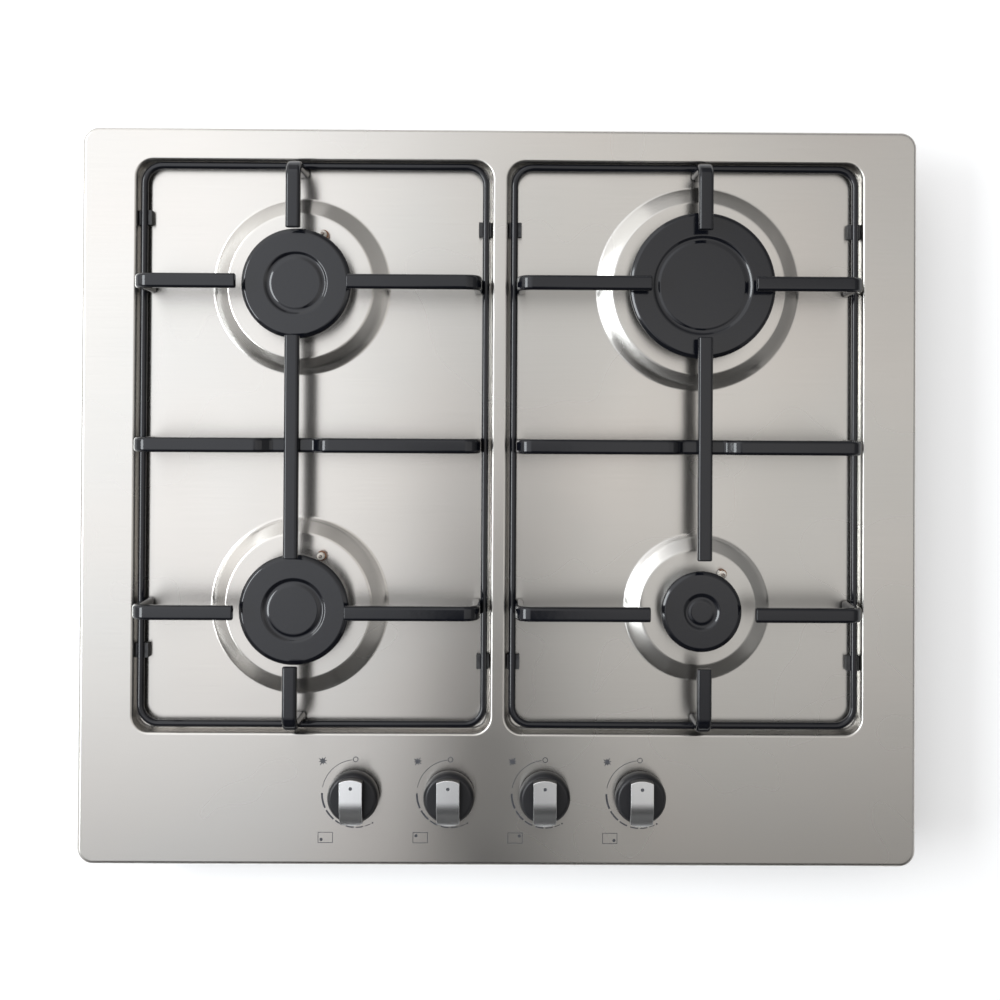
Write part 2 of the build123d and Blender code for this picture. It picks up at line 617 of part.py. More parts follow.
def burner_cup(burner):
    neck_r = neck_radius(burner)
    flange_r = screw_circle(burner) + CUP_SCREW_HEAD_R + 1.0
    under_flange_z = UNDER_PLATEAU_Z - CUP_FLANGE
    bowl_r = neck_r - CUP_WALL
    spark_x, spark_y = spark_place(burner)
    with BuildPart() as cup:
        with BuildSketch(front_plane(burner.x, burner.y, 0)):
            with BuildLine():
                Polyline(
                    (0, BOWL_FLOOR_Z),
                    (bowl_r, BOWL_FLOOR_Z),
                    (bowl_r, NECK_TOP_Z),
                    (neck_r, NECK_TOP_Z),
                    (neck_r, UNDER_PLATEAU_Z),
                    (flange_r, UNDER_PLATEAU_Z),
                    (flange_r, under_flange_z),
                    (neck_r, under_flange_z),
                    (neck_r, BOWL_FLOOR_Z - CUP_WALL),
                    (CUP_BOSS_R, BOWL_FLOOR_Z - CUP_WALL),
                    (CUP_BOSS_R, BOWL_FLOOR_Z - CUP_WALL - CUP_BOSS_DROP),
                    (0, BOWL_FLOOR_Z - CUP_WALL - CUP_BOSS_DROP),
                    close=True,
                )
            make_face()
        revolve(axis=Axis((burner.x, burner.y, 0), (0, 0, 1)))
        # ear that carries the spark electrode
        with BuildSketch(Plane.XY.offset(under_flange_z)):
            with Locations((spark_x, spark_y)):
                Circle(ELECTRODE_SHOULDER_R + 2.0)
            with Locations((burner.x, burner.y)):
                Circle(neck_r + 1)
            make_hull()
            with Locations((burner.x, burner.y)):
                Circle(neck_r - CUP_WALL / 2, mode=Mode.SUBTRACT)
        extrude(amount=CUP_FLANGE)
        # gas arm to the front, with a threaded stub for the pipe nut
        with BuildSketch(front_plane(burner.x, burner.y, PORT_Z)):
            Circle(CUP_BOSS_R - 2.0)
        extrude(amount=INLET_REACH)
        with BuildSketch(front_plane(burner.x, burner.y - INLET_REACH, PORT_Z)):
            Circle(STUB_R)
        extrude(amount=STUB_LENGTH)
        with BuildSketch(front_plane(burner.x, burner.y, PORT_Z)):
            Circle(CUP_WAY_R)
        extrude(amount=INLET_REACH + STUB_LENGTH, mode=Mode.SUBTRACT)
        # injector seat and the gas chamber below it
        with BuildSketch(Plane((burner.x, burner.y, BOWL_FLOOR_Z))):
            Circle(INJECTOR_R + SCREW_HOLE_GAP)
        extrude(amount=-(BOWL_FLOOR_Z - PORT_Z + CUP_WAY_R + 1.0), mode=Mode.SUBTRACT)
        with BuildSketch(Plane.XY.offset(UNDER_PLATEAU_Z)):
            with Locations((spark_x, spark_y)):
                Circle(ELECTRODE_R + ASSEMBLY_GAP)
            with Locations((burner.x, burner.y)):
                for angle in cup_screw_angles(burner):
                    with PolarLocations(screw_circle(burner), 1, start_angle=angle):
                        Circle(CUP_SCREW_R + SCREW_HOLE_GAP)
        extrude(amount=-CUP_FLANGE, mode=Mode.SUBTRACT)
    return cup.part


def injector(burner):
    """Jet screwed into the cup's floor, with its hexagon inside the bowl."""
    with BuildPart() as jet:
        with BuildSketch(Plane((burner.x, burner.y, BOWL_FLOOR_Z))):
            Circle(INJECTOR_R)
        extrude(amount=-7.0)
        with BuildSketch(Plane((burner.x, burner.y, BOWL_FLOOR_Z))):
            RegularPolygon(INJECTOR_HEX / 2, 6, major_radius=False)
        extrude(amount=4.0)
        with BuildSketch(Plane((burner.x, burner.y, BOWL_FLOOR_Z + 4.0))):
            Circle(INJECTOR_R - 0.5)
        extrude(amount=2.0, taper=30)
        with BuildSketch(Plane((burner.x, burner.y, BOWL_FLOOR_Z - 7.0))):
            Circle(INJECTOR_R - 1.2)
        extrude(amount=11.0, mode=Mode.SUBTRACT)
        with BuildSketch(Plane((burner.x, burner.y, BOWL_FLOOR_Z))):
            Circle(burner.jet_r)
        extrude(amount=8.0, mode=Mode.SUBTRACT)
    return jet.part


def burner_crown(burner):
    """Flame spreader: a ring of ports over the throat that draws gas and air up."""
    crown_r = crown_radius(burner)
    neck_r = neck_radius(burner)
    inner_r = crown_r - CROWN_WALL
    throat_r = burner.throat_r
    throat_out = throat_r + 1.5
    collar_r = neck_r - CUP_WALL - LIFT_GAP
    skirt_z = NECK_TOP_Z + 2.0
    floor_z = NECK_TOP_Z + 4.0
    with BuildPart() as crown:
        with BuildSketch(front_plane(burner.x, burner.y, 0)):
            with BuildLine():
                Polyline(
                    (throat_r, NECK_TOP_Z - 12.0),
                    (throat_out, NECK_TOP_Z - 12.0),
                    (throat_out, NECK_TOP_Z + 1.0),
                    (collar_r - 1.5, NECK_TOP_Z + 1.0),
                    (collar_r - 1.5, NECK_TOP_Z - 3.5),
                    (collar_r, NECK_TOP_Z - 3.5),
                    (collar_r, NECK_TOP_Z),
                    (neck_r + 0.5, NECK_TOP_Z),
                    (neck_r + 0.5, skirt_z),
                    (crown_r - 0.8, skirt_z),
                    (crown_r, skirt_z + 0.8),
                    (crown_r, CROWN_TOP_Z),
                    (inner_r, CROWN_TOP_Z),
                    (inner_r, floor_z),
                    (throat_out + 1.0, floor_z),
                    (throat_r + 0.6, floor_z + 2.0),
                    (throat_r, floor_z + 2.0),
                    close=True,
                )
            make_face()
        revolve(axis=Axis((burner.x, burner.y, 0), (0, 0, 1)))
        with Locations((burner.x, burner.y, CROWN_TOP_Z - PORT_DEPTH / 2)):
            with PolarLocations(crown_r - CROWN_WALL / 2, burner.ports):
                Box(CROWN_WALL + 2, PORT_WIDTH, PORT_DEPTH, mode=Mode.SUBTRACT)
    return crown


def burner_cap(burner):
    """Lift-off cap: a bevelled disc with a pressed ring and a shallow middle."""
    cap_r = burner.cap_r
    crown_r = crown_radius(burner)
    top = CAP_TOP_Z
    under = CROWN_TOP_Z
    ring_r = crown_r - CROWN_WALL - LIFT_GAP
    groove_r = burner.groove_r
    with BuildPart() as cap:
        with BuildSketch(front_plane(burner.x, burner.y, 0)):
            with BuildLine():
                Polyline(
                    (0, under + 1.5),
                    (ring_r - 3.0, under + 1.5),
                    (ring_r - 1.8, under - CAP_DROP),
                    (ring_r, under - CAP_DROP),
                    (ring_r, under),
                    (crown_r, under),
                    (cap_r - 0.8, under + 1.2),
                    (cap_r, under + 2.2),
                    (cap_r, top - 2.2),
                    (cap_r - 0.6, top - 1.2),
                    (cap_r - CAP_BEVEL, top),
                    (groove_r, top),
                    (groove_r - 1.2, top - 1.3),
                    (groove_r - 2.4, top - 1.3),
                    (groove_r - 3.6, top - 0.3),
                    (groove_r - 4.4, top - 0.3),
                    (groove_r - 6.6, top - 1.0),
                    (0, top - 1.0),
                    close=True,
                )
            make_face()
        revolve(axis=Axis((burner.x, burner.y, 0), (0, 0, 1)))
    return cap


def spark_insulator(burner):
    """Ceramic rod that hangs in the cup's ear by its shoulder."""
    x, y = spark_place(burner)
    shoulder_z = UNDER_PLATEAU_Z - CUP_FLANGE
    with BuildPart() as rod:
        with BuildSketch(front_plane(x, y, 0)):
            with BuildLine():
                Polyline(
                    (ELECTRODE_PIN_R, shoulder_z - 18.0),
                    (ELECTRODE_R, shoulder_z - 18.0),
                    (ELECTRODE_R, shoulder_z - 4.5),
                    (ELECTRODE_SHOULDER_R, shoulder_z - 3.5),
                    (ELECTRODE_SHOULDER_R, shoulder_z),
                    (ELECTRODE_R, shoulder_z),
                    (ELECTRODE_R, PLATEAU_Z + ELECTRODE_STAND - 0.6),
                    (ELECTRODE_R - 0.6, PLATEAU_Z + ELECTRODE_STAND),
                    (ELECTRODE_PIN_R, PLATEAU_Z + ELECTRODE_STAND),
                    close=True,
                )
            make_face()
        revolve(axis=Axis((x, y, 0), (0, 0, 1)))
    return rod.part


PIN_FOOT_Z = UNDER_PLATEAU_Z - CUP_FLANGE - 18.0 - BOOT_OVERLAP


def spark_pin(burner):
    x, y = spark_place(burner)
    with BuildPart() as pin:
        with BuildSketch(Plane((x, y, PIN_FOOT_Z))):
            Circle(ELECTRODE_PIN_R - 0.02)
        extrude(amount=PLATEAU_Z + ELECTRODE_STAND + PIN_STAND - PIN_FOOT_Z)
        fillet(pin.faces().sort_by(Axis.Z)[-1].edges(), 0.5)
    return pin.part


with BuildPart() as burner_cups:
    for burner in BURNERS:
        add(burner_cup(burner))
save(burner_cups, "burner_cups")

with BuildPart() as injectors:
    for burner in BURNERS:
        add(injector(burner))
save(injectors, "injectors")

with BuildPart() as insulators:
    for burner in BURNERS:
        add(spark_insulator(burner))
save(insulators, "electrode_insulators")

with BuildPart() as pins:
    for burner in BURNERS:
        add(spark_pin(burner))
save(pins, "electrode_pins")

for burner in BURNERS:
    save(burner_crown(burner), f"burner_crown_{burner.name}")
    save(burner_cap(burner), f"burner_cap_{burner.name}")

cup_screw_places = []
for burner in BURNERS:
    for angle in cup_screw_angles(burner):
        turn = math.radians(angle)
        cup_screw_places.append(
            (
                burner.x + screw_circle(burner) * math.cos(turn),
                burner.y + screw_circle(burner) * math.sin(turn),
                PLATEAU_Z,
            )
        )
cup_screw = pan_screw(CUP_SCREW_R, CUP_SCREW_LENGTH, CUP_SCREW_HEAD_R, CUP_SCREW_HEAD)
save_at(cup_screw, "cup_screws", cup_screw_places)

# =====================================================================================
# Gas taps: body, taper plug, spindle, spring, bonnet and ignition switch
# =====================================================================================

PLUG_BASE_Z = TAP_BASE_Z + PLUG_FLOOR
PLUG_TOP_Z = TAP_TOP_Z - 0.2
TAP_FACE = TAP_WIDTH / 2

with BuildPart() as tap_body:
    with BuildSketch(Plane.XY.offset(TAP_BASE_Z)):
        RectangleRounded(TAP_WIDTH, TAP_WIDTH, 2.0)
    extrude(amount=2 * TAP_HALF_HEIGHT)
    # two posts up to the top sheet
    with BuildSketch(Plane.XY.offset(TAP_TOP_Z)):
        with Locations((LUG_OFFSET, -LUG_OFFSET), (-LUG_OFFSET, LUG_OFFSET)):
            Circle(LUG_R)
    extrude(amount=UNDER_RIM_Z - TAP_TOP_Z)
    # threaded outlet stub to the rear
    with BuildSketch(rear_plane(0, TAP_FACE, PORT_Z)):
        Circle(STUB_R)
    extrude(amount=STUB_LENGTH)
    # taper seat for the plug
    with BuildSketch(Plane.XZ):
        with BuildLine():
            Polyline(
                (0, PLUG_BASE_Z),
                (PLUG_BOTTOM_R, PLUG_BASE_Z),
                (PLUG_TOP_R, TAP_TOP_Z),
                (0, TAP_TOP_Z),
                close=True,
            )
        make_face()
    revolve(axis=Axis.Z, mode=Mode.SUBTRACT)
    # gas ways: in at the front, out at the rear
    with BuildSketch(front_plane(0, 0, PORT_Z)):
        Circle(GASWAY_R)
    extrude(amount=TAP_FACE, mode=Mode.SUBTRACT)
    with BuildSketch(rear_plane(0, 0, PORT_Z)):
        Circle(GASWAY_R)
    extrude(amount=TAP_FACE + STUB_LENGTH, mode=Mode.SUBTRACT)
    # threads for the screws from above and for the manifold strap
    with BuildSketch(Plane.XY.offset(UNDER_RIM_Z)):
        with Locations((LUG_OFFSET, -LUG_OFFSET), (-LUG_OFFSET, LUG_OFFSET)):
            Circle(TAP_SCREW_R + SCREW_HOLE_GAP)
    extrude(amount=-(LUG_SCREW_LENGTH + 0.5), mode=Mode.SUBTRACT)
    with BuildSketch(front_plane(0, -TAP_FACE, PORT_Z)):
        with Locations((0, STRAP_SCREW_Z), (0, -STRAP_SCREW_Z)):
            Circle(TAP_SCREW_R + SCREW_HOLE_GAP)
    extrude(amount=-(STRAP_SCREW_LENGTH - MANIFOLD_SIZE - STRAP_THICKNESS + 0.5), mode=Mode.SUBTRACT)

with BuildPart() as plug:
    with BuildSketch(Plane.XZ):
        taper = (PLUG_TOP_R - PLUG_BOTTOM_R) / (TAP_TOP_Z - PLUG_BASE_Z)
        foot_z = PLUG_BASE_Z + 0.3
        with BuildLine():
            Polyline(
                (0, foot_z),
                (PLUG_BOTTOM_R - PLUG_CLEARANCE + taper * 0.3, foot_z),
                (PLUG_TOP_R - PLUG_CLEARANCE - taper * 0.2, PLUG_TOP_Z),
                (0, PLUG_TOP_Z),
                close=True,
            )
        make_face()
    revolve(axis=Axis.Z)
    # slot that the spindle's tang slides in
    with BuildSketch(Plane.XY.offset(PLUG_TOP_Z)):
        Rectangle(TANG_WIDTH + 0.4, TANG_THICKNESS + 0.2)
    extrude(amount=-(PLUG_TOP_Z - FLANGE_TOP_Z + SPINDLE_FLANGE + TANG_LENGTH + PUSH_TRAVEL + 0.4), mode=Mode.SUBTRACT)
    # main way is closed at rest and open after a quarter turn
    with BuildSketch(Plane((0, 0, PORT_Z), z_dir=(1, 0, 0))):
        Circle(GASWAY_R)
    extrude(amount=2 * PLUG_TOP_R, both=True, mode=Mode.SUBTRACT)
    # fine way lines up at the lowest flame
    low_turn = math.radians(90.0 - TAP_TURN)
    with BuildSketch(Plane((0, 0, PORT_Z), z_dir=(math.cos(low_turn), math.sin(low_turn), 0))):
        Circle(LOW_FLAME_R)
    extrude(amount=2 * PLUG_TOP_R, both=True, mode=Mode.SUBTRACT)

SPINDLE_TOP_Z = RIM_Z + SPINDLE_IN_KNOB
TANG_TOP_Z = FLANGE_TOP_Z - SPINDLE_FLANGE
KNOB_FOOT_Z = RIM_Z + KNOB_GAP
BOSS_Z = KNOB_FOOT_Z + KNOB_BOSS_LIFT

with BuildPart() as spindle:
    with BuildSketch(Plane.XY.offset(FLANGE_TOP_Z)):
        Circle(SPINDLE_R)
    extrude(amount=SPINDLE_TOP_Z - FLANGE_TOP_Z)
    chamfer(spindle.faces().sort_by(Axis.Z)[-1].edges(), 0.5)
    with BuildSketch(Plane.XY.offset(TANG_TOP_Z)):
        Circle(SPINDLE_FLANGE_R)
    extrude(amount=SPINDLE_FLANGE)
    with BuildSketch(Plane.XY.offset(SWITCH_Z + SWITCH_HEIGHT + 0.5)):
        Circle(COLLAR_R)
    extrude(amount=COLLAR_HEIGHT)
    with BuildSketch(Plane.XY.offset(TANG_TOP_Z)):
        Rectangle(TANG_WIDTH, TANG_THICKNESS)
    extrude(amount=-TANG_LENGTH)
    # flat that drives the knob
    with BuildSketch(Plane.XY.offset(BOSS_Z - 1)):
        with Locations((0, SPINDLE_D_FLAT + SPINDLE_R / 2)):
            Rectangle(2 * SPINDLE_R + 1, SPINDLE_R)
    extrude(amount=SPINDLE_TOP_Z - BOSS_Z + 1, mode=Mode.SUBTRACT)

# return spring, drawn as the sleeve that its coils fill
with BuildPart() as spring:
    with BuildSketch(Plane.XY.offset(PLUG_TOP_Z)):
        Circle(SPINDLE_FLANGE_R - 0.4)
        Circle(TANG_WIDTH / 2 + 0.6, mode=Mode.SUBTRACT)
    extrude(amount=TANG_TOP_Z - PLUG_TOP_Z)

with BuildPart() as bonnet:
    with BuildSketch(Plane.XY.offset(TAP_TOP_Z)):
        Circle(BONNET_R)
        Circle(BONNET_BORE_R, mode=Mode.SUBTRACT)
    extrude(amount=BONNET_HEIGHT)
    with BuildSketch(Plane.XY.offset(FLANGE_TOP_Z)):
        Circle(BONNET_R)
        Circle(SPINDLE_R + SPINDLE_CLEARANCE, mode=Mode.SUBTRACT)
    extrude(amount=BONNET_TOP)

with BuildPart() as switch:
    with BuildSketch(Plane.XY.offset(SWITCH_Z)):
        RectangleRounded(SWITCH_WIDTH, SWITCH_WIDTH, 3.0)
        Circle(SWITCH_BORE_R, mode=Mode.SUBTRACT)
        with Locations((LUG_OFFSET, -LUG_OFFSET), (-LUG_OFFSET, LUG_OFFSET)):
            Circle(LUG_R + ASSEMBLY_GAP, mode=Mode.SUBTRACT)
    extrude(amount=SWITCH_HEIGHT)

tap_places = [(x, TAP_Y, 0) for x in TAP_XS]
save_at(tap_body.part, "tap_bodies", tap_places)
save_at(bonnet.part, "tap_bonnets", tap_places)
save_at(spring.part, "tap_springs", tap_places)
save_at(switch.part, "ignition_switches", tap_places)
for place, name in zip(tap_places, TAP_BURNERS):
    save_at(plug.part, f"tap_plug_{name}", [place])
    save_at(spindle.part, f"tap_spindle_{name}", [place])

# =====================================================================================
# Knobs: black body with a hollow foot, and a curved metal plate along its grip
# =====================================================================================

def grip_block(depth):
    """Grip with its top and front taken in by depth, from inside the knob's base up."""
    top = KNOB_TOP - depth
    curve_drop = KNOB_TOP - GRIP_FRONT_Z
    curve_run = GRIP_END_R + GRIP_CURVE_START
    curve_r = (curve_run**2 + curve_drop**2) / (2 * curve_drop) - depth
    centre_z = top - curve_r
    front = -GRIP_END_R - 1.0
    half = (front + GRIP_CURVE_START) / 2
    front_z = centre_z + math.sqrt(curve_r**2 - (front - GRIP_CURVE_START) ** 2)
    half_z = centre_z + math.sqrt(curve_r**2 - (half - GRIP_CURVE_START) ** 2)
    root = KNOB_BASE_TOP - 1.0
    with BuildPart() as block:
        with BuildSketch(Plane.YZ.offset(-GRIP_WIDTH / 2)):
            with BuildLine():
                Line((KNOB_R, RIM_Z + top), (GRIP_CURVE_START, RIM_Z + top))
                ThreePointArc(
                    (GRIP_CURVE_START, RIM_Z + top),
                    (half, RIM_Z + half_z),
                    (front, RIM_Z + front_z),
                )
                Polyline(
                    (front, RIM_Z + front_z),
                    (front, RIM_Z + root),
                    (KNOB_R, RIM_Z + root),
                    (KNOB_R, RIM_Z + top),
                )
            make_face()
        extrude(amount=GRIP_WIDTH)
        with BuildSketch(Plane.XY.offset(RIM_Z)):
            Circle(GRIP_END_R)
        extrude(amount=KNOB_TOP, mode=Mode.INTERSECT)
        with BuildSketch(Plane.XY.offset(RIM_Z)):
            with Locations((0, GRIP_REAR_R - KNOB_R)):
                Circle(KNOB_R)
        extrude(amount=KNOB_TOP, mode=Mode.INTERSECT)
    return block.part


with BuildPart() as grip_plate:
    add(grip_block(0.0))
    add(grip_block(GRIP_PLATE), mode=Mode.SUBTRACT)
    with Locations((0, GRIP_REAR_R - DOT_INSET, RIM_Z + KNOB_TOP)):
        Cylinder(DOT_R, 0.6, mode=Mode.SUBTRACT)

with BuildPart() as knob_body:
    with BuildSketch(Plane.XZ):
        with BuildLine():
            Polyline(
                (0, KNOB_FOOT_Z),
                (KNOB_FOOT_R, KNOB_FOOT_Z),
                (KNOB_FOOT_R, KNOB_FOOT_Z + 1.5),
                (KNOB_R, RIM_Z + KNOB_BASE_TOP - 0.8),
                (KNOB_R - 0.8, RIM_Z + KNOB_BASE_TOP),
                (0, RIM_Z + KNOB_BASE_TOP),
                close=True,
            )
        make_face()
    revolve(axis=Axis.Z)
    add(grip_block(GRIP_PLATE))
    with BuildSketch(Plane.XY.offset(KNOB_FOOT_Z)):
        Circle(KNOB_RECESS_R)
    extrude(amount=KNOB_RECESS, mode=Mode.SUBTRACT)
    with BuildSketch(Plane.XY.offset(BOSS_Z)):
        Circle(KNOB_BOSS_R)
    extrude(amount=KNOB_FOOT_Z + KNOB_RECESS - BOSS_Z)
    with BuildSketch(Plane.XY.offset(BOSS_Z)):
        Circle(SPINDLE_R + SPINDLE_CLEARANCE)
        with Locations((0, SPINDLE_D_FLAT + SPINDLE_CLEARANCE + SPINDLE_R / 2)):
            Rectangle(2 * SPINDLE_R + 1, SPINDLE_R, mode=Mode.SUBTRACT)
    extrude(amount=SPINDLE_TOP_Z + SPINDLE_CLEARANCE - BOSS_Z, mode=Mode.SUBTRACT)

with BuildPart() as knob_seal:
    with BuildSketch(Plane.XZ):
        with BuildLine():
            Polyline(
                (KNOB_SEAL_BORE_R, RIM_Z),
                (KNOB_SEAL_R, RIM_Z),
                (KNOB_SEAL_R, RIM_Z + 0.8),
                (KNOB_SEAL_BORE_R + 1.0, RIM_Z + KNOB_SEAL_HEIGHT),
                (KNOB_SEAL_BORE_R, RIM_Z + KNOB_SEAL_HEIGHT),
                close=True,
            )
        make_face()
    revolve(axis=Axis.Z)

save_at(knob_seal.part, "knob_seals", tap_places)
for place, name in zip(tap_places, TAP_BURNERS):
    save_at(knob_body.part, f"knob_body_{name}", [place])
    save_at(grip_plate.part, f"knob_grip_{name}", [place])

# =====================================================================================
# Gas rail: manifold, straps, pipes, nuts, supply pipe and threaded inlet
# =====================================================================================

MANIFOLD_END = TAP_XS[-1] + MANIFOLD_OVERRUN

with BuildPart() as manifold:
    with BuildSketch(Plane((-MANIFOLD_END, MANIFOLD_Y, PORT_Z), z_dir=(1, 0, 0))):
        RectangleRounded(MANIFOLD_SIZE, MANIFOLD_SIZE, 1.5)
    extrude(amount=2 * MANIFOLD_END)
    with BuildSketch(Plane((-MANIFOLD_END + MANIFOLD_WALL, MANIFOLD_Y, PORT_Z), z_dir=(1, 0, 0))):
        Rectangle(MANIFOLD_SIZE - 2 * MANIFOLD_WALL, MANIFOLD_SIZE - 2 * MANIFOLD_WALL)
    extrude(amount=2 * (MANIFOLD_END - MANIFOLD_WALL), mode=Mode.SUBTRACT)
    with BuildSketch(rear_plane(0, MANIFOLD_Y, PORT_Z)):
        with Locations(*[(-x, 0) for x in TAP_XS]):
            Circle(GASWAY_R)
    extrude(amount=MANIFOLD_SIZE / 2, mode=Mode.SUBTRACT)
    with BuildSketch(Plane((MANIFOLD_END, MANIFOLD_Y, PORT_Z), z_dir=(-1, 0, 0))):
        Circle(SUPPLY_BORE_R)
    extrude(amount=MANIFOLD_WALL, mode=Mode.SUBTRACT)
save(manifold, "gas_manifold")

with BuildPart() as strap:
    strap_face = front_plane(0, MANIFOLD_Y - MANIFOLD_SIZE / 2, PORT_Z)
    with BuildSketch(strap_face):
        RectangleRounded(STRAP_WIDTH, 2 * STRAP_SCREW_Z + 8.0, 2.0)
        with Locations((0, STRAP_SCREW_Z), (0, -STRAP_SCREW_Z)):
            Circle(TAP_SCREW_R + CLEAR_HOLE_GAP, mode=Mode.SUBTRACT)
    extrude(amount=STRAP_THICKNESS)
save_at(strap.part, "manifold_straps", [(x, 0, 0) for x in TAP_XS])

lug_screw = pan_screw(TAP_SCREW_R, LUG_SCREW_LENGTH, TAP_SCREW_HEAD_R, TAP_SCREW_HEAD)
strap_screw = pan_screw(TAP_SCREW_R, STRAP_SCREW_LENGTH, TAP_SCREW_HEAD_R, TAP_SCREW_HEAD)
strap_front = MANIFOLD_Y - MANIFOLD_SIZE / 2 - STRAP_THICKNESS
with BuildPart() as tap_screws:
    with Locations(*lug_places(RIM_Z)):
        add(lug_screw)
    for x in TAP_XS:
        for z in (PORT_Z - STRAP_SCREW_Z, PORT_Z + STRAP_SCREW_Z):
            with Locations(Location(front_plane(x, strap_front, z))):
                add(strap_screw)
save(tap_screws, "tap_screws")

TAP_STUB_END = TAP_Y + TAP_FACE + STUB_LENGTH


def cup_stub_end(burner):
    return burner.y - INLET_REACH - STUB_LENGTH


with BuildPart() as gas_pipes:
    for x, name in zip(TAP_XS, TAP_BURNERS):
        burner = burner_named(name)
        last = cup_stub_end(burner)
        if name.startswith("front"):
            turn_y = TAP_STUB_END + 26.0
            back_y = last - 24.0
        else:
            turn_y = WELL_Y
            back_y = last - 40.0
        route = [
            (x, TAP_STUB_END, PORT_Z),
            (x, turn_y, PORT_Z),
            (burner.x, back_y, PORT_Z),
            (burner.x, last, PORT_Z),
        ]
        add(swept_tube(route, PIPE_BEND_R, PIPE_R, PIPE_BORE_R))
save(gas_pipes, "gas_pipes")

# nut: the origin plane is the stub's root, and the pipe leaves along +Z
with BuildPart() as nut:
    with BuildSketch(Plane.XY.offset(1.0)):
        RegularPolygon(NUT_HEX / 2, 6, major_radius=False)
    extrude(amount=NUT_LENGTH)
    chamfer(nut.faces().sort_by(Axis.Z)[-1].edges(), 0.6)
    with BuildSketch(Plane.XY):
        Circle(STUB_R + NUT_CLEARANCE)
    extrude(amount=STUB_LENGTH + NUT_CLEARANCE, mode=Mode.SUBTRACT)
    with BuildSketch(Plane.XY):
        Circle(PIPE_R + NUT_CLEARANCE)
    extrude(amount=NUT_LENGTH + 1.0, mode=Mode.SUBTRACT)
nut_places = []
for x, name in zip(TAP_XS, TAP_BURNERS):
    burner = burner_named(name)
    nut_places.append(Location(rear_plane(x, TAP_Y + TAP_FACE, PORT_Z)))
    nut_places.append(Location(front_plane(burner.x, burner.y - INLET_REACH, PORT_Z)))
INLET_FACE_Y = INLET_Y - INLET_BODY_R - 4.0
with BuildPart() as supply_pipe:
    supply_route = [
        (MANIFOLD_END, MANIFOLD_Y, PORT_Z),
        (INLET_X, MANIFOLD_Y, PORT_Z),
        (INLET_X, INLET_FACE_Y, PORT_Z),
    ]
    add(swept_tube(supply_route, SUPPLY_BEND_R, SUPPLY_R, SUPPLY_BORE_R))
save(supply_pipe, "gas_supply_pipe")

# elbow that takes the supply pipe from the front and turns down through the raised corner
INLET_SEAT_Z = NOTCH_RISE + TRAY_SHEET
INLET_MOUTH_Z = 2.0
with BuildPart() as gas_inlet:
    with BuildSketch(Plane((INLET_X, INLET_Y, INLET_SEAT_Z))):
        Circle(INLET_BODY_R)
    extrude(amount=PORT_Z + INLET_BODY_TOP - INLET_SEAT_Z)
    fillet(gas_inlet.faces().sort_by(Axis.Z)[-1].edges(), 3.0)
    with BuildSketch(front_plane(INLET_X, INLET_Y, PORT_Z)):
        Circle(SUPPLY_R + 1.8)
    extrude(amount=INLET_Y - INLET_FACE_Y)
    with BuildSketch(Plane((INLET_X, INLET_Y, INLET_SEAT_Z))):
        Circle(INLET_SHANK_R)
    extrude(amount=-(INLET_SEAT_Z - INLET_MOUTH_Z - INLET_THREAD_LENGTH))
    with BuildSketch(Plane((INLET_X, INLET_Y, INLET_MOUTH_Z + INLET_THREAD_LENGTH))):
        Circle(INLET_THREAD_R)
    extrude(amount=-INLET_THREAD_LENGTH)
    with BuildSketch(Plane((INLET_X, INLET_Y, PORT_Z))):
        Circle(INLET_BORE_R)
    extrude(amount=-PORT_Z, mode=Mode.SUBTRACT)
    with BuildSketch(front_plane(INLET_X, INLET_Y, PORT_Z)):
        Circle(SUPPLY_BORE_R)
    extrude(amount=INLET_Y - INLET_FACE_Y, mode=Mode.SUBTRACT)
save(gas_inlet, "gas_inlet")

# back nut that clamps the elbow to the tray
with BuildPart() as inlet_nut:
    with BuildSketch(Plane((INLET_X, INLET_Y, NOTCH_RISE))):
        RegularPolygon(INLET_HEX / 2, 6, major_radius=False)
        Circle(INLET_SHANK_R + SCREW_HOLE_GAP, mode=Mode.SUBTRACT)
    extrude(amount=-(NOTCH_RISE - INLET_MOUTH_Z - INLET_THREAD_LENGTH))

with BuildPart() as all_nuts:
    with Locations(*nut_places):
        add(nut.part)
    add(inlet_nut.part)
save(all_nuts, "pipe_nuts")


# =====================================================================================
# Ignition: spark module, leads, switch chain, and the mains entry with its terminal block
# =====================================================================================

LEAD_Z = TRAY_SHEET + LEAD_R + 0.2
MODULE_X = -TRAY_INNER_X + MODULE_WALL_GAP + MODULE_SIZE[0] / 2
MODULE_Y = -TRAY_INNER_Y + MODULE_FRONT_GAP + MODULE_SIZE[1] / 2
MODULE_REAR = MODULE_Y + MODULE_SIZE[1] / 2
MODULE_RIGHT = MODULE_X + MODULE_SIZE[0] / 2

with BuildPart() as module:
    with BuildSketch(Plane((MODULE_X, MODULE_Y, TRAY_SHEET))):
        RectangleRounded(MODULE_SIZE[0], MODULE_SIZE[1], 3.0)
    extrude(amount=MODULE_SIZE[2])
    fillet(module.faces().sort_by(Axis.Z)[-1].edges(), 1.5)
save(module, "ignition_module")


def outlet_x(index):
    """Lead outlets along the module's rear face, counted from its right end."""
    return MODULE_RIGHT - 10.0 - index * LEAD_PITCH


BOOT_TOP_Z = PIN_FOOT_Z + BOOT_OVERLAP
BOOT_Z = BOOT_TOP_Z - BOOT_LENGTH


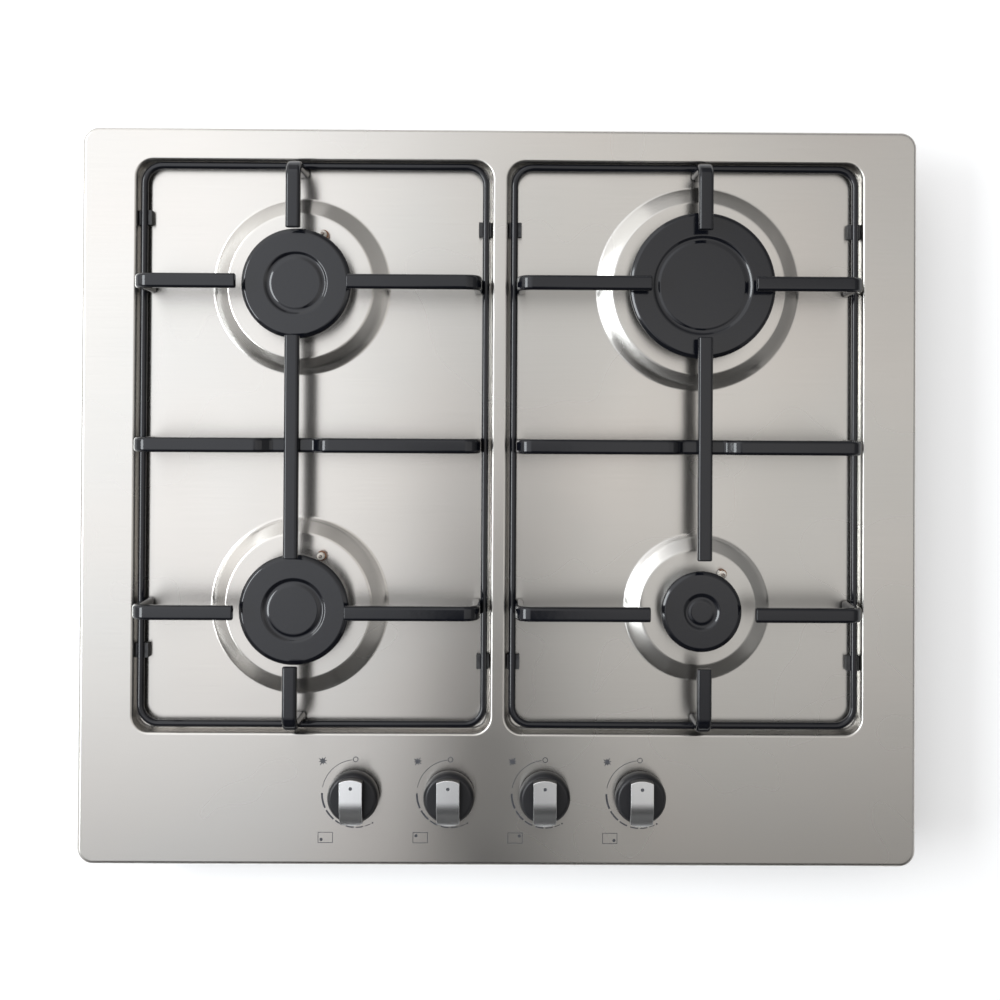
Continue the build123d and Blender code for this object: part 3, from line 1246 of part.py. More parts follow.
def spark_lead(burner, index, way_points, radius):
    """Lead from a module outlet, along the tray's floor and up into the electrode's boot."""
    x, y = spark_place(burner)
    route = [(outlet_x(index), MODULE_REAR, LEAD_Z)]
    route += [(px, py, LEAD_Z) for px, py in way_points]
    route += [(x, y, LEAD_Z), (x, y, BOOT_Z)]
    radii = [radius] * len(way_points) + [BOOT_Z - LEAD_Z - 0.5]
    with BuildPart() as lead:
        add(swept_tube(route, radii, LEAD_R))
        with BuildSketch(Plane((x, y, BOOT_Z))):
            Circle(BOOT_R)
        extrude(amount=BOOT_LENGTH)
        with BuildSketch(Plane((x, y, PIN_FOOT_Z))):
            Circle(ELECTRODE_PIN_R + 0.02)
        extrude(amount=BOOT_OVERLAP, mode=Mode.SUBTRACT)
    return lead.part


LEAD_WAYS = {
    "front_left": [(outlet_x(0), -80.0), (-172.0, -41.4)],
    "front_right": [(outlet_x(1), -30.0), (-180.0, 12.0), (110.0, 12.0), (155.0, -8.0)],
    "rear_right": [(outlet_x(2), 20.0), (-182.0, 78.0), (85.0, 78.0), (158.0, 132.0)],
    "rear_left": [(outlet_x(3), 75.0), (-196.0, 122.0), (-190.0, 180.0)],
}

with BuildPart() as ignition_leads:
    for index, (name, ways) in enumerate(LEAD_WAYS.items()):
        add(spark_lead(burner_named(name), index, ways, 25.0))
    # mains lead from the terminal block to the module
    terminal_front = NOTCH_Y - TERMINAL_GAP - TERMINAL_SIZE[1]
    mains_lead_x = outlet_x(4)
    mains_route = [(mains_lead_x, MODULE_REAR, MAINS_LEAD_R + 1.2), (mains_lead_x, terminal_front, MAINS_LEAD_R + 1.2)]
    add(swept_tube(mains_route, None, MAINS_LEAD_R))
    # switch chain, from the module to the first tap and on from switch to switch
    chain_z = SWITCH_Z + SWITCH_HEIGHT / 2
    first_switch = TAP_XS[0] - SWITCH_WIDTH / 2
    chain_route = [
        (MODULE_RIGHT, TAP_Y, 14.0),
        (MODULE_RIGHT + 28.0, TAP_Y, 14.0),
        (first_switch - 30.0, TAP_Y, chain_z),
        (first_switch, TAP_Y, chain_z),
    ]
    add(swept_tube(chain_route, 14.0, CHAIN_R))
    for x, following in zip(TAP_XS, TAP_XS[1:]):
        ends = [(x + SWITCH_WIDTH / 2, TAP_Y, chain_z), (following - SWITCH_WIDTH / 2, TAP_Y, chain_z)]
        add(swept_tube(ends, None, CHAIN_R))
save(ignition_leads, "ignition_leads")

with BuildPart() as terminal_block:
    terminal_y = terminal_front + TERMINAL_SIZE[1] / 2
    with BuildSketch(Plane((MAINS_X, terminal_y, TRAY_SHEET))):
        Rectangle(TERMINAL_SIZE[0], TERMINAL_SIZE[1])
    extrude(amount=TERMINAL_SIZE[2])
    fillet(terminal_block.edges().filter_by(Axis.Z), 2.0)
    with BuildSketch(Plane.XY.offset(TRAY_SHEET + TERMINAL_SIZE[2])):
        with Locations((MAINS_X, terminal_y)):
            with GridLocations(TERMINAL_SIZE[0] / 3, 0, 3, 1):
                Circle(2.5)
    extrude(amount=-6.0, mode=Mode.SUBTRACT)
    with BuildSketch(rear_plane(MAINS_X, terminal_front + TERMINAL_SIZE[1], TRAY_SHEET + 9.0)):
        with GridLocations(TERMINAL_SIZE[0] / 3, 0, 3, 1):
            Circle(1.8)
    extrude(amount=-14.0, mode=Mode.SUBTRACT)
save(terminal_block, "terminal_block")

with BuildPart() as cable_gland:
    with BuildSketch(Plane((MAINS_X, INLET_Y, NOTCH_RISE - GLAND_FLANGE))):
        Circle(GLAND_R)
        Circle(GLAND_BORE_R, mode=Mode.SUBTRACT)
    extrude(amount=GLAND_LENGTH)
    with BuildSketch(Plane((MAINS_X, INLET_Y, NOTCH_RISE - GLAND_FLANGE))):
        Circle(GLAND_FLANGE_R)
        Circle(GLAND_BORE_R, mode=Mode.SUBTRACT)
    extrude(amount=GLAND_FLANGE)
save(cable_gland, "cable_gland")

# =====================================================================================
# Pan supports: a wire ring in each well, bars welded to it and rubber feet under it
# =====================================================================================

def bar_along(points, radii):
    """Flat bar with rounded edges that follows a path of runs and bends."""
    with BuildPart() as bar:
        with BuildLine() as path:
            if len(points) == 2:
                Line(*points)
            else:
                FilletPolyline(*points, radius=radii)
        start = path.line % 0
        across = (0, 1, 0) if abs(start.Z) > 0.5 and abs(points[-1][1] - points[0][1]) < 0.1 else (1, 0, 0)
        with BuildSketch(Plane(path.line @ 0, x_dir=across, z_dir=start)):
            RectangleRounded(BAR_WIDTH, BAR_THICKNESS, BAR_EDGE_R)
        sweep(path=path.line)
    return bar.part


def wire_path(side):
    x = side * WELL_X
    left, right = x - WIRE_HALF_X, x + WIRE_HALF_X
    front, rear = SUPPORT_Y - WIRE_HALF_Y, SUPPORT_Y + WIRE_HALF_Y
    return [(x, front, WIRE_Z), (right, front, WIRE_Z), (right, rear, WIRE_Z), (left, rear, WIRE_Z), (left, front, WIRE_Z)]


def support_ring(side):
    with BuildPart() as ring:
        with BuildLine() as path:
            FilletPolyline(*wire_path(side)[1:], radius=WIRE_CORNER_R, close=True)
        with BuildSketch(Plane(path.line @ 0, z_dir=path.line % 0)):
            Circle(WIRE_R)
        sweep(path=path.line)
    return ring


def support_cross_bar(side, ring):
    x = side * WELL_X
    dip = side * BURNER_X
    low_z = BAR_Z - BAR_THICKNESS
    points = [
        (x - LEG_HALF_X, SUPPORT_Y, LEG_FOOT_Z),
        (x - LEG_HALF_X, SUPPORT_Y, BAR_Z),
        (dip - JOGGLE_HALF, SUPPORT_Y, BAR_Z),
        (dip - JOGGLE_HALF + JOGGLE_RUN, SUPPORT_Y, low_z),
        (dip + JOGGLE_HALF - JOGGLE_RUN, SUPPORT_Y, low_z),
        (dip + JOGGLE_HALF, SUPPORT_Y, BAR_Z),
        (x + LEG_HALF_X, SUPPORT_Y, BAR_Z),
        (x + LEG_HALF_X, SUPPORT_Y, LEG_FOOT_Z),
    ]
    with BuildPart() as bar:
        add(bar_along(points, BEND_R))
        add(ring, mode=Mode.SUBTRACT)
    return bar


def support_centre_bar(side):
    rear_y = WELL_Y + BURNER_SPACING / 2 - FINGER_GAP_R
    front_y = WELL_Y - BURNER_SPACING / 2 + FINGER_GAP_R
    with BuildPart() as bar:
        with BuildSketch(Plane((side * BURNER_X, front_y, BAR_Z), x_dir=(1, 0, 0), z_dir=(0, 1, 0))):
            RectangleRounded(BAR_WIDTH, BAR_THICKNESS, BAR_EDGE_R)
        extrude(amount=rear_y - front_y)
    return bar


def support_fingers(side, ring):
    x = side * WELL_X
    bx = side * BURNER_X
    routes = []
    for row in ROW_Y:
        by = WELL_Y + row
        toward = 1 if row > 0 else -1
        leg_y = SUPPORT_Y + toward * LEG_HALF_Y
        routes.append([(bx, leg_y, LEG_FOOT_Z), (bx, leg_y, BAR_Z), (bx, by + toward * FINGER_GAP_R, BAR_Z)])
        for hand in (-1, 1):
            leg_x = x + hand * LEG_HALF_X
            routes.append([(leg_x, by, LEG_FOOT_Z), (leg_x, by, BAR_Z), (bx + hand * FINGER_GAP_R, by, BAR_Z)])
    with BuildPart() as fingers:
        for route in routes:
            add(bar_along(route, BEND_R))
        add(ring, mode=Mode.SUBTRACT)
    return fingers


def support_feet(side, ring):
    """Rubber feet that clip up round the side wires, with their outer corner bevelled."""
    x = side * WELL_X
    height = WIRE_LIFT + FOOT_GRIP
    with BuildPart() as feet:
        for hand in (-1, 1):
            wire_x = x + hand * WIRE_HALF_X
            slip = FOOT_SLIP if side == hand == -1 else 0.0
            for end in (-1, 1):
                y = SUPPORT_Y + slip + end * FOOT_SHARE * WIRE_HALF_Y
                with BuildSketch(front_plane(wire_x, y, WELL_Z)):
                    with BuildLine():
                        Polyline(
                            (-hand * FOOT_INNER, 0),
                            (hand * (FOOT_OUTER - FOOT_BEVEL), 0),
                            (hand * FOOT_OUTER, FOOT_BEVEL),
                            (hand * FOOT_OUTER, height),
                            (-hand * FOOT_INNER, height),
                            close=True,
                        )
                    make_face()
                extrude(amount=FOOT_LENGTH / 2, both=True)
        add(ring, mode=Mode.SUBTRACT)
    return feet


for label, side in SUPPORT_SIDES.items():
    ring = support_ring(side)
    save(ring, f"{label}_support_ring")
    save(support_cross_bar(side, ring.part), f"{label}_support_cross_bar")
    save(support_centre_bar(side), f"{label}_support_centre_bar")
    save(support_fingers(side, ring.part), f"{label}_support_fingers")
    save(support_feet(side, ring.part), f"{label}_support_feet")
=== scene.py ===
import json
import math
import bmesh
import bpy
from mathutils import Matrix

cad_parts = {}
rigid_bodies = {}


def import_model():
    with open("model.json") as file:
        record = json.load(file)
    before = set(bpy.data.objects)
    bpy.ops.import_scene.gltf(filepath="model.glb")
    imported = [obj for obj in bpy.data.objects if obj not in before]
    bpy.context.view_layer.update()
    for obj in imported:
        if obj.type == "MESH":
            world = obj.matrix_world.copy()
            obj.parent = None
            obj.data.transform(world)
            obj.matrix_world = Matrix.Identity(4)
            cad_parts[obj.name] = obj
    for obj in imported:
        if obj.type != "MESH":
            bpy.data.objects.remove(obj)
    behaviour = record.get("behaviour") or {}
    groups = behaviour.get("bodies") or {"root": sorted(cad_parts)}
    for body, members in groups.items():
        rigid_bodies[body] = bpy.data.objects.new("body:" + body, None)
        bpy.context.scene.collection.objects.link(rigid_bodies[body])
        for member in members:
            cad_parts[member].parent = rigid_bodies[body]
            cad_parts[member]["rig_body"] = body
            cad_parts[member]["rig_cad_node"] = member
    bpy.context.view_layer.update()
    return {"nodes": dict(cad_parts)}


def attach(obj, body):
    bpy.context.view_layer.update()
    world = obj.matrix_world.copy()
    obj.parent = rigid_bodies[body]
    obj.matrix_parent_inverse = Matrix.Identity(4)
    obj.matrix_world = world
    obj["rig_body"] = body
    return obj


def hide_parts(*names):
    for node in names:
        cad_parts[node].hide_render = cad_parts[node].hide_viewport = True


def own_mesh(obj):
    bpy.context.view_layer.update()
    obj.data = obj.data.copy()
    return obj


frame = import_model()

nodes = frame["nodes"]
mm = 0.001

# Base tray: folded from 0.8 mm galvanised sheet, open at the top, with air slots in its
# floor and both rear corners raised for the gas and mains entries. The pressed top's
# skirt slides down over it and is screwed to its walls.


def feed(tree, node, **inputs):
    """Links each named input of a node to a socket or sets its value; gives the outputs."""
    for label, value in inputs.items():
        socket = node.inputs[label.replace("_", " ")]
        if isinstance(value, bpy.types.NodeSocket):
            tree.links.new(value, socket)
        else:
            socket.default_value = value
    return node.outputs


def new_effect(name, output, *numbers):
    """Empty node group that is given a place and some numbers, and puts out one value."""
    tree = bpy.data.node_groups.new(name, "ShaderNodeTree")
    tree.interface.new_socket("Place", in_out="INPUT", socket_type="NodeSocketVector")
    for number in numbers:
        tree.interface.new_socket(number, in_out="INPUT", socket_type="NodeSocketFloat")
    tree.interface.new_socket(output, in_out="OUTPUT", socket_type="NodeSocketFloat")
    given, made = tree.nodes.new("NodeGroupInput"), tree.nodes.new("NodeGroupOutput")
    return tree, given.outputs, made.inputs


def put_effect(tree, effect, **inputs):
    """An effect placed in a material."""
    node = tree.nodes.new("ShaderNodeGroup")
    node.node_tree = effect
    return feed(tree, node, **inputs)


def sized_noise(tree, place, size, detail=2.0, roughness=0.5):
    """Noise whose swells have the given size, or one size along each axis."""
    spread = tree.nodes.new("ShaderNodeVectorMath")
    spread.operation = "DIVIDE"
    tree.links.new(place, spread.inputs[0])
    tree.links.new(size, spread.inputs[1])
    noise = tree.nodes.new("ShaderNodeTexNoise")
    noise = feed(
        tree, noise, Vector=spread.outputs[0], Scale=1.0, Detail=detail, Roughness=roughness
    )
    return noise["Fac"]


def blend_colours(tree, amount, first, second):
    """Goes from the first colour to the second by an amount from 0 to 1."""
    node = tree.nodes.new("ShaderNodeMix")
    node.data_type = "RGBA"
    tree.links.new(amount, node.inputs["Factor"])
    for colour, label in ((first, "A"), (second, "B")):
        socket = [s for s in node.inputs if s.name == label and s.type == "RGBA"][0]
        if isinstance(colour, bpy.types.NodeSocket):
            tree.links.new(colour, socket)
        else:
            socket.default_value = (*colour, 1)
    return [s for s in node.outputs if s.type == "RGBA"][0]


def raised_by(tree, height, distance, strength=1.0):
    """Normal of a surface that stands up by a height from 0 to 1."""
    node = tree.nodes.new("ShaderNodeBump")
    return feed(tree, node, Strength=strength, Distance=distance, Height=height)["Normal"]


# slow cloudy change over the surface, from Low to High
uneven_tone, given, made = new_effect("uneven tone", "Tone", "Cloud Size", "Low", "High")
levels = uneven_tone.nodes.new("ShaderNodeMapRange")
levels.interpolation_type = "SMOOTHSTEP"
cloud = sized_noise(uneven_tone, given["Place"], given["Cloud Size"])
tone = feed(
    uneven_tone, levels, Value=cloud, From_Min=0.25, From_Max=0.75, To_Min=given["Low"],
    To_Max=given["High"],
)
uneven_tone.links.new(tone["Result"], made["Tone"])

# fine grains, as on a casting, a moulding or foam
speckle, given, made = new_effect("speckle", "Speck", "Grain Size")
speckle.links.new(sized_noise(speckle, given["Place"], given["Grain Size"]), made["Speck"])


def new_finish(name, colour, metallic, roughness, grain=None, **others):
    """A material. Its colour is one colour, or a cloud size and two colours; its roughness
    is a number, or a cloud size and two numbers; its grain is a size, height and strength."""
    material = bpy.data.materials.new(name)
    material.use_nodes = True
    tree = material.node_tree
    tree.nodes.clear()
    shader = tree.nodes.new("ShaderNodeBsdfPrincipled")
    shader.name = "surface"
    output = tree.nodes.new("ShaderNodeOutputMaterial")
    output.name = "result"
    tree.links.new(shader.outputs["BSDF"], output.inputs["Surface"])
    coordinates = tree.nodes.new("ShaderNodeTexCoord")
    coordinates.name = "place"
    place = coordinates.outputs["Object"]
    if colour and isinstance(colour[1], tuple):
        cloud_size, first, second = colour
        tone = put_effect(
            tree, uneven_tone, Place=place, Cloud_Size=cloud_size, Low=0.0, High=1.0
        )
        feed(tree, shader, Base_Color=blend_colours(tree, tone["Tone"], first, second))
    elif colour:
        feed(tree, shader, Base_Color=(*colour, 1))
    if isinstance(roughness, tuple):
        cloud_size, low, high = roughness
        roughness = put_effect(
            tree, uneven_tone, Place=place, Cloud_Size=cloud_size, Low=low, High=high
        )["Tone"]
    if grain:
        grain_size, height, strength = grain
        speck = put_effect(tree, speckle, Place=place, Grain_Size=grain_size)["Speck"]
        feed(tree, shader, Normal=raised_by(tree, speck, height, strength))
    feed(tree, shader, Metallic=metallic, Roughness=roughness, **others)
    return material


def parts_of(material):
    """Tree, shader and place on the object of a material."""
    tree = material.node_tree
    return tree, tree.nodes["surface"], tree.nodes["place"].outputs["Object"]


galvanised = new_finish("galvanised sheet", None, 1.0, (0.05, 0.34, 0.52))
tree, shader, place = parts_of(galvanised)
spangle = feed(tree, tree.nodes.new("ShaderNodeTexVoronoi"), Vector=place, Scale=110.0)
crystal = feed(tree, tree.nodes.new("ShaderNodeSeparateColor"), Color=spangle["Color"])
sheet_colour = blend_colours(tree, crystal["Red"], (0.47, 0.49, 0.51), (0.64, 0.66, 0.68))
feed(tree, shader, Base_Color=sheet_colour)


def coat(piece, material):
    """Makes a material the only one of a piece."""
    piece.data.materials.clear()
    piece.data.materials.append(material)


def dress(material, *names):
    """Gives nodes that stay as they are their material."""
    for name in names:
        coat(nodes[name], material)


def fit(piece, material, body, slot, *stands_for):
    """Gives a finished piece its material, the body it rides on and the nodes it stands for."""
    coat(piece, material)
    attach(piece, body)
    if stands_for:
        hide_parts(*stands_for)


def alone(piece, mode="OBJECT"):
    """Makes a piece the only one selected, in object or edit mode."""
    bpy.ops.object.select_all(action="DESELECT")
    piece.select_set(True)
    bpy.context.view_layer.objects.active = piece
    bpy.ops.object.mode_set(mode=mode)


def smooth_rounds(piece, degrees=30):
    """Smooth shading over the rounds, with the flats kept flat."""
    alone(piece)
    bpy.ops.object.shade_smooth_by_angle(angle=math.radians(degrees))
    flats = piece.modifiers.new("flats", "WEIGHTED_NORMAL")
    flats.keep_sharp = True
    bpy.ops.object.modifier_apply(modifier=flats.name)


def merged_copy(node, name, degrees=30):
    """Copy of a CAD node with its doubles merged, so that its rounds shade smoothly."""
    alone(nodes[node])
    bpy.ops.object.duplicate()
    piece = bpy.context.object
    piece.name = name
    piece.parent = None
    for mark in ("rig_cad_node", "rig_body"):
        del piece[mark]
    bpy.ops.mesh.customdata_custom_splitnormals_clear()
    bpy.ops.object.mode_set(mode="EDIT")
    bpy.ops.mesh.select_all(action="SELECT")
    bpy.ops.mesh.remove_doubles(threshold=1e-6)
    bpy.ops.object.mode_set(mode="OBJECT")
    smooth_rounds(piece, degrees)
    return piece


tray = merged_copy("base_tray", "folded_tray")
fit(tray, galvanised, "hob", "galvanised_sheet", "base_tray")

# Ignition and mains: moulded spark module, terminal block and gland, silicone-sleeved
# leads with their boots, and the switches under the knobs. All sit on the tray's floor
# or on the taps and hide under the top.

module_case = new_finish(
    "spark module case", (0.05, 0.05, 0.055), 0.0, (0.02, 0.38, 0.55), (0.0008, 0.00008, 1.0)
)
dress(module_case, "ignition_module", "cable_gland")
switch_case = new_finish(
    "switch housing", (0.03, (0.8, 0.79, 0.75), (0.74, 0.72, 0.65)), 0.0, 0.4
)
dress(switch_case, "ignition_switches", "terminal_block")
sleeve = new_finish(
    "silicone sleeve", (0.015, (0.66, 0.62, 0.56), (0.55, 0.51, 0.45)), 0.0, 0.5
)
dress(sleeve, "ignition_leads")

# Gas line: square steel manifold held to the taps by straps, zinc-coated supply pipe,
# turned brass inlet and pipe nuts, and drawn aluminium pipes to the burners.

zinc_tube = new_finish("zinc-coated tube", (0.45, 0.46, 0.48), 0.85, (0.02, 0.3, 0.5))
dress(zinc_tube, "gas_manifold", "gas_supply_pipe")
dress(galvanised, "manifold_straps")
brass = new_finish(
    "turned brass", (0.006, (0.76, 0.57, 0.27), (0.6, 0.42, 0.19)), 1.0, (0.004, 0.24, 0.42)
)
dress(brass, "pipe_nuts", "injectors")
inlet = merged_copy("gas_inlet", "turned_inlet")
fit(inlet, brass, "hob", "brass", "gas_inlet")
drawn_pipe = new_finish("drawn aluminium", (0.74, 0.75, 0.76), 1.0, (0.01, 0.22, 0.4))
dress(drawn_pipe, "gas_pipes")

# Gas taps: die-cast bodies with brass plugs and spindles, pressed bonnets, a return
# spring each, and zinc-plated screws that pull them up under the top.


def fresh(kind="VERT"):
    """Leaves nothing selected, so that what is added next is worked on alone."""
    bpy.ops.mesh.select_mode(type=kind)
    bpy.ops.mesh.select_all(action="DESELECT")


def pick_corners(piece, test):
    """Selects the corners whose place passes the test."""
    fresh()
    shape = bmesh.from_edit_mesh(piece.data)
    for corner in shape.verts:
        corner.select_set(test(corner.co))
    bmesh.update_edit_mesh(piece.data)


casting = new_finish(
    "die casting", (0.012, (0.54, 0.55, 0.56), (0.42, 0.42, 0.43)), 0.9, 0.5,
    (0.0009, 0.00012, 1.0),
)
dress(casting, "tap_bodies", "burner_cups")
dress(galvanised, "tap_bonnets")
spring_wire = new_finish("spring wire", (0.42, 0.43, 0.45), 1.0, (0.002, 0.22, 0.4))
tap_names = ("front_left", "rear_left", "rear_right", "front_right")
tap_y = -205 * mm
tap_xs = (-98.25 * mm, -32.75 * mm, 32.75 * mm, 98.25 * mm)
next_tap = 20 * mm
# the node holds all four springs, and each copy keeps the one of its own tap
springs = [merged_copy("tap_springs", f"return_spring_{tap_name}") for tap_name in tap_names]
for spring, tap_name, tap_x in zip(springs, tap_names, tap_xs):
    dress(brass, f"tap_plug_{tap_name}", f"tap_spindle_{tap_name}")
    alone(spring, "EDIT")
    pick_corners(spring, lambda place: abs(place.x - tap_x) > next_tap)
    bpy.ops.mesh.delete(type="VERT")
    bpy.ops.object.mode_set(mode="OBJECT")
    fit(spring, spring_wire, "hob", "spring_steel", "tap_springs")
    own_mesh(spring)
zinc_plate = new_finish("zinc plating", (0.66, 0.67, 0.7), 1.0, (0.003, 0.18, 0.38))
dress(zinc_plate, "tap_screws", "cup_screws", "case_screws")

# Pressed top: one brushed stainless sheet, 0.8 mm thick. Its flat rim carries two wells
# with a narrow rib between, each well has two round plateaus for the burners, and the
# edge is folded under and down into the skirt that closes over the tray.

rim_z, well_z, plateau_z, lip_z = 58 * mm, 49 * mm, 56 * mm, 52 * mm
top_width, top_depth = 580 * mm, 510 * mm
skirt_width, skirt_depth, skirt_drop = 552 * mm, 482 * mm, 10 * mm
rim_edge_r, rim_corner_r, sheet = 3 * mm, 11 * mm, 0.8 * mm
well_width, well_depth, well_corner_r = 247.5 * mm, 397 * mm, 12 * mm
well_xs, well_y = (-128.75 * mm, 128.75 * mm), 34.5 * mm
lip_r, floor_r, well_draft = 1.8 * mm, 3 * mm, 10
plateau_edge_r, cone_run, cone_rise = 3.4 * mm, 11, 7
neck_gap, spark_hole_r, outer_band = 10.2 * mm, 3.4 * mm, 20 * mm
knob_hole_r, tap_screw_hole_r, tap_screw_off = 6.5 * mm, 2 * mm, 8.9 * mm
burners = {
    "rear_left": dict(
        at=(-138.5 * mm, 145.5 * mm), cap=37.5 * mm, crown=34 * mm, plateau=61.5 * mm,
        groove=21.5 * mm, spark_reach=39 * mm, spark_turn=65,
    ),
    "rear_right": dict(
        at=(138.5 * mm, 145.5 * mm), cap=50 * mm, crown=42 * mm, plateau=71 * mm,
        groove=34 * mm, spark_reach=47 * mm, spark_turn=65,
    ),
    "front_left": dict(
        at=(-138.5 * mm, -76.5 * mm), cap=37.5 * mm, crown=34 * mm, plateau=61.5 * mm,
        groove=21.5 * mm, spark_reach=39 * mm, spark_turn=65,
    ),
    "front_right": dict(
        at=(138.5 * mm, -76.5 * mm), cap=27.5 * mm, crown=24 * mm, plateau=51 * mm,
        groove=12.3 * mm, spark_reach=29 * mm, spark_turn=56,
    ),
}
for burner in burners.values():
    turn = math.radians(burner["spark_turn"])
    burner["spark_at"] = (
        burner["at"][0] + burner["spark_reach"] * math.cos(turn),
        burner["at"][1] + burner["spark_reach"] * math.sin(turn),
    )


def round_steps(radius, start, end, steps):
    """Runs and drops along a bend whose surface turns from one slope to another, in degrees."""
    turns = [math.radians(start + (end - start) * i / steps) for i in range(steps + 1)]
    return [
        (radius * abs(math.sin(b) - math.sin(a)), radius * abs(math.cos(b) - math.cos(a)))
        for a, b in zip(turns, turns[1:])
    ]


def press_in(steps, way):
    """Insets the selected face along a row of runs, and moves it down (-1) or up (+1)."""
    for run, drop in steps:
        bpy.ops.mesh.inset(thickness=run, depth=way * drop, use_even_offset=True)


def rounded_panel(x, y, z, width, depth, corner_r, segments):
    """Adds a flat face with round corners to the mesh in hand, and leaves it selected."""
    fresh()
    bpy.ops.mesh.primitive_plane_add(size=1, location=(x, y, z))
    bpy.ops.transform.resize(value=(width, depth, 1), center_override=(x, y, z))
    bpy.ops.mesh.bevel(offset=corner_r, segments=segments, affect="VERTICES")
    bpy.ops.mesh.select_mode(type="FACE")


def pick_edges(piece, test):
    """Selects the open edges whose two ends pass the test."""
    fresh("EDGE")
    shape = bmesh.from_edit_mesh(piece.data)
    for edge in shape.edges:
        if len(edge.link_faces) < 2 and all(test(corner.co) for corner in edge.verts):
            edge.select_set(True)
    bmesh.update_edit_mesh(piece.data)


def new_piece(name):
    """Empty piece in edit mode, to which primitives are added."""
    bpy.ops.object.select_all(action="DESELECT")
    bpy.ops.mesh.primitive_plane_add(size=1, location=(0, 0, 0))
    piece = bpy.context.object
    piece.name = name
    bpy.ops.object.mode_set(mode="EDIT")
    bpy.ops.mesh.select_mode(type="VERT")
    bpy.ops.mesh.delete(type="VERT")
    return piece


def pull(move):
    """Extrudes what is selected by a distance along each axis."""
    bpy.ops.mesh.extrude_region_move(TRANSFORM_OT_translate={"value": move})


def close_up():
    """Merges doubles, turns all faces outwards and leaves edit mode."""
    bpy.ops.mesh.select_all(action="SELECT")
    bpy.ops.mesh.remove_doubles(threshold=1e-6)
    bpy.ops.mesh.normals_make_consistent(inside=False)
    bpy.ops.object.mode_set(mode="OBJECT")


def thicken(piece, thickness, offset=-1, even=False):
    """Gives an open sheet its thickness."""
    alone(piece)
    wall = piece.modifiers.new("wall", "SOLIDIFY")
    wall.thickness, wall.offset, wall.use_even_offset = thickness, offset, even
    bpy.ops.object.modifier_apply(modifier=wall.name)


top = new_piece("pressed_top")
# outer edge, rolled up from its lowest line to the flat rim
rounded_panel(0, 0, rim_z - rim_edge_r, top_width, top_depth, rim_corner_r, segments=16)
press_in(round_steps(rim_edge_r, 90, 0, 8), 1)
bpy.ops.mesh.delete(type="ONLY_FACE")
# wells: lip, drafted wall and floor bend
wall_slope = 90 - well_draft
wall_drop = rim_z - well_z - (lip_r + floor_r) * (1 - math.cos(math.radians(wall_slope)))
lip_reach = lip_r * math.tan(math.radians(wall_slope) / 2)
for well_x in well_xs:
    rounded_panel(
        well_x, well_y, rim_z, well_width + 2 * lip_reach, well_depth + 2 * lip_reach,
        well_corner_r + lip_reach, segments=14,
    )
    press_in(round_steps(lip_r, 0, wall_slope, 7), -1)
    press_in([(wall_drop * math.tan(math.radians(well_draft)), wall_drop)], -1)
    press_in(round_steps(floor_r, wall_slope, 0, 7), -1)
    bpy.ops.mesh.delete(type="ONLY_FACE")
# plateaus: foot bend, cone and crest bend, with holes for the cup's neck and the electrode
slope = math.degrees(math.atan2(cone_rise, cone_run))
bend_reach = plateau_edge_r * math.tan(math.radians(slope) / 2)
bend_rise = plateau_edge_r * (1 - math.cos(math.radians(slope)))
cone_height = plateau_z - well_z - 2 * bend_rise
for burner in burners.values():
    fresh()
    bpy.ops.mesh.primitive_circle_add(
        vertices=144, radius=burner["plateau"] + bend_reach, fill_type="NGON",
        location=(*burner["at"], well_z),
    )
    bpy.ops.mesh.select_mode(type="FACE")
    press_in(round_steps(plateau_edge_r, 0, slope, 5), 1)
    press_in([(cone_height * cone_run / cone_rise, cone_height)], 1)
    press_in(round_steps(plateau_edge_r, slope, 0, 5), 1)
    bpy.ops.mesh.delete(type="ONLY_FACE")
holes = [(*burner["at"], plateau_z, burner["crown"] - neck_gap, 96) for burner in burners.values()]
holes += [(*burner["spark_at"], plateau_z, spark_hole_r, 32) for burner in burners.values()]
for tap_x in tap_xs:
    holes.append((tap_x, tap_y, rim_z, knob_hole_r, 32))
    for off in (tap_screw_off, -tap_screw_off):
        holes.append((tap_x + off, tap_y - off, rim_z, tap_screw_hole_r, 32))
for x, y, z, hole_r, corners in holes:
    fresh()
    bpy.ops.mesh.primitive_circle_add(vertices=corners, radius=hole_r, location=(x, y, z))


def level(place, z):
    """True for a place at a height."""
    return abs(place.z - z) < 0.01 * mm


# flats filled between their outlines
pick_edges(top, lambda place: level(place, rim_z))
bpy.ops.mesh.fill(use_beauty=True)
for side in (-1, 1):
    pick_edges(top, lambda place: level(place, well_z) and place.x * side > 0)
    bpy.ops.mesh.fill(use_beauty=True)
for burner in burners.values():
    pick_edges(top, lambda place: level(place, plateau_z) and math.hypot(
        place.x - burner["at"][0], place.y - burner["at"][1]
    ) < burner["plateau"])
    bpy.ops.mesh.fill(use_beauty=True)
# edge folded under, then down into the skirt
pick_edges(top, lambda place: level(place, rim_z - rim_edge_r) and (
    abs(place.x) > top_width / 2 - outer_band or abs(place.y) > top_depth / 2 - outer_band
))
pull((0, 0, lip_z - rim_z + rim_edge_r))
pull((0, 0, 0))
bpy.ops.transform.resize(
    value=(skirt_width / top_width, skirt_depth / top_depth, 1), center_override=(0, 0, lip_z)
)
pull((0, 0, -skirt_drop))
close_up()
thicken(top, sheet, even=True)
smooth_rounds(top, 35)

# long fine lines across the sheet, from left to right
brush_marks, given, made = new_effect("brush marks", "Line", "Line Length", "Line Pitch")
stretch = feed(
    brush_marks, brush_marks.nodes.new("ShaderNodeCombineXYZ"), X=given["Line Length"],
    Y=given["Line Pitch"], Z=given["Line Length"],
)
lines = sized_noise(brush_marks, given["Place"], stretch["Vector"], 5.0, 0.7)
brush_marks.links.new(lines, made["Line"])

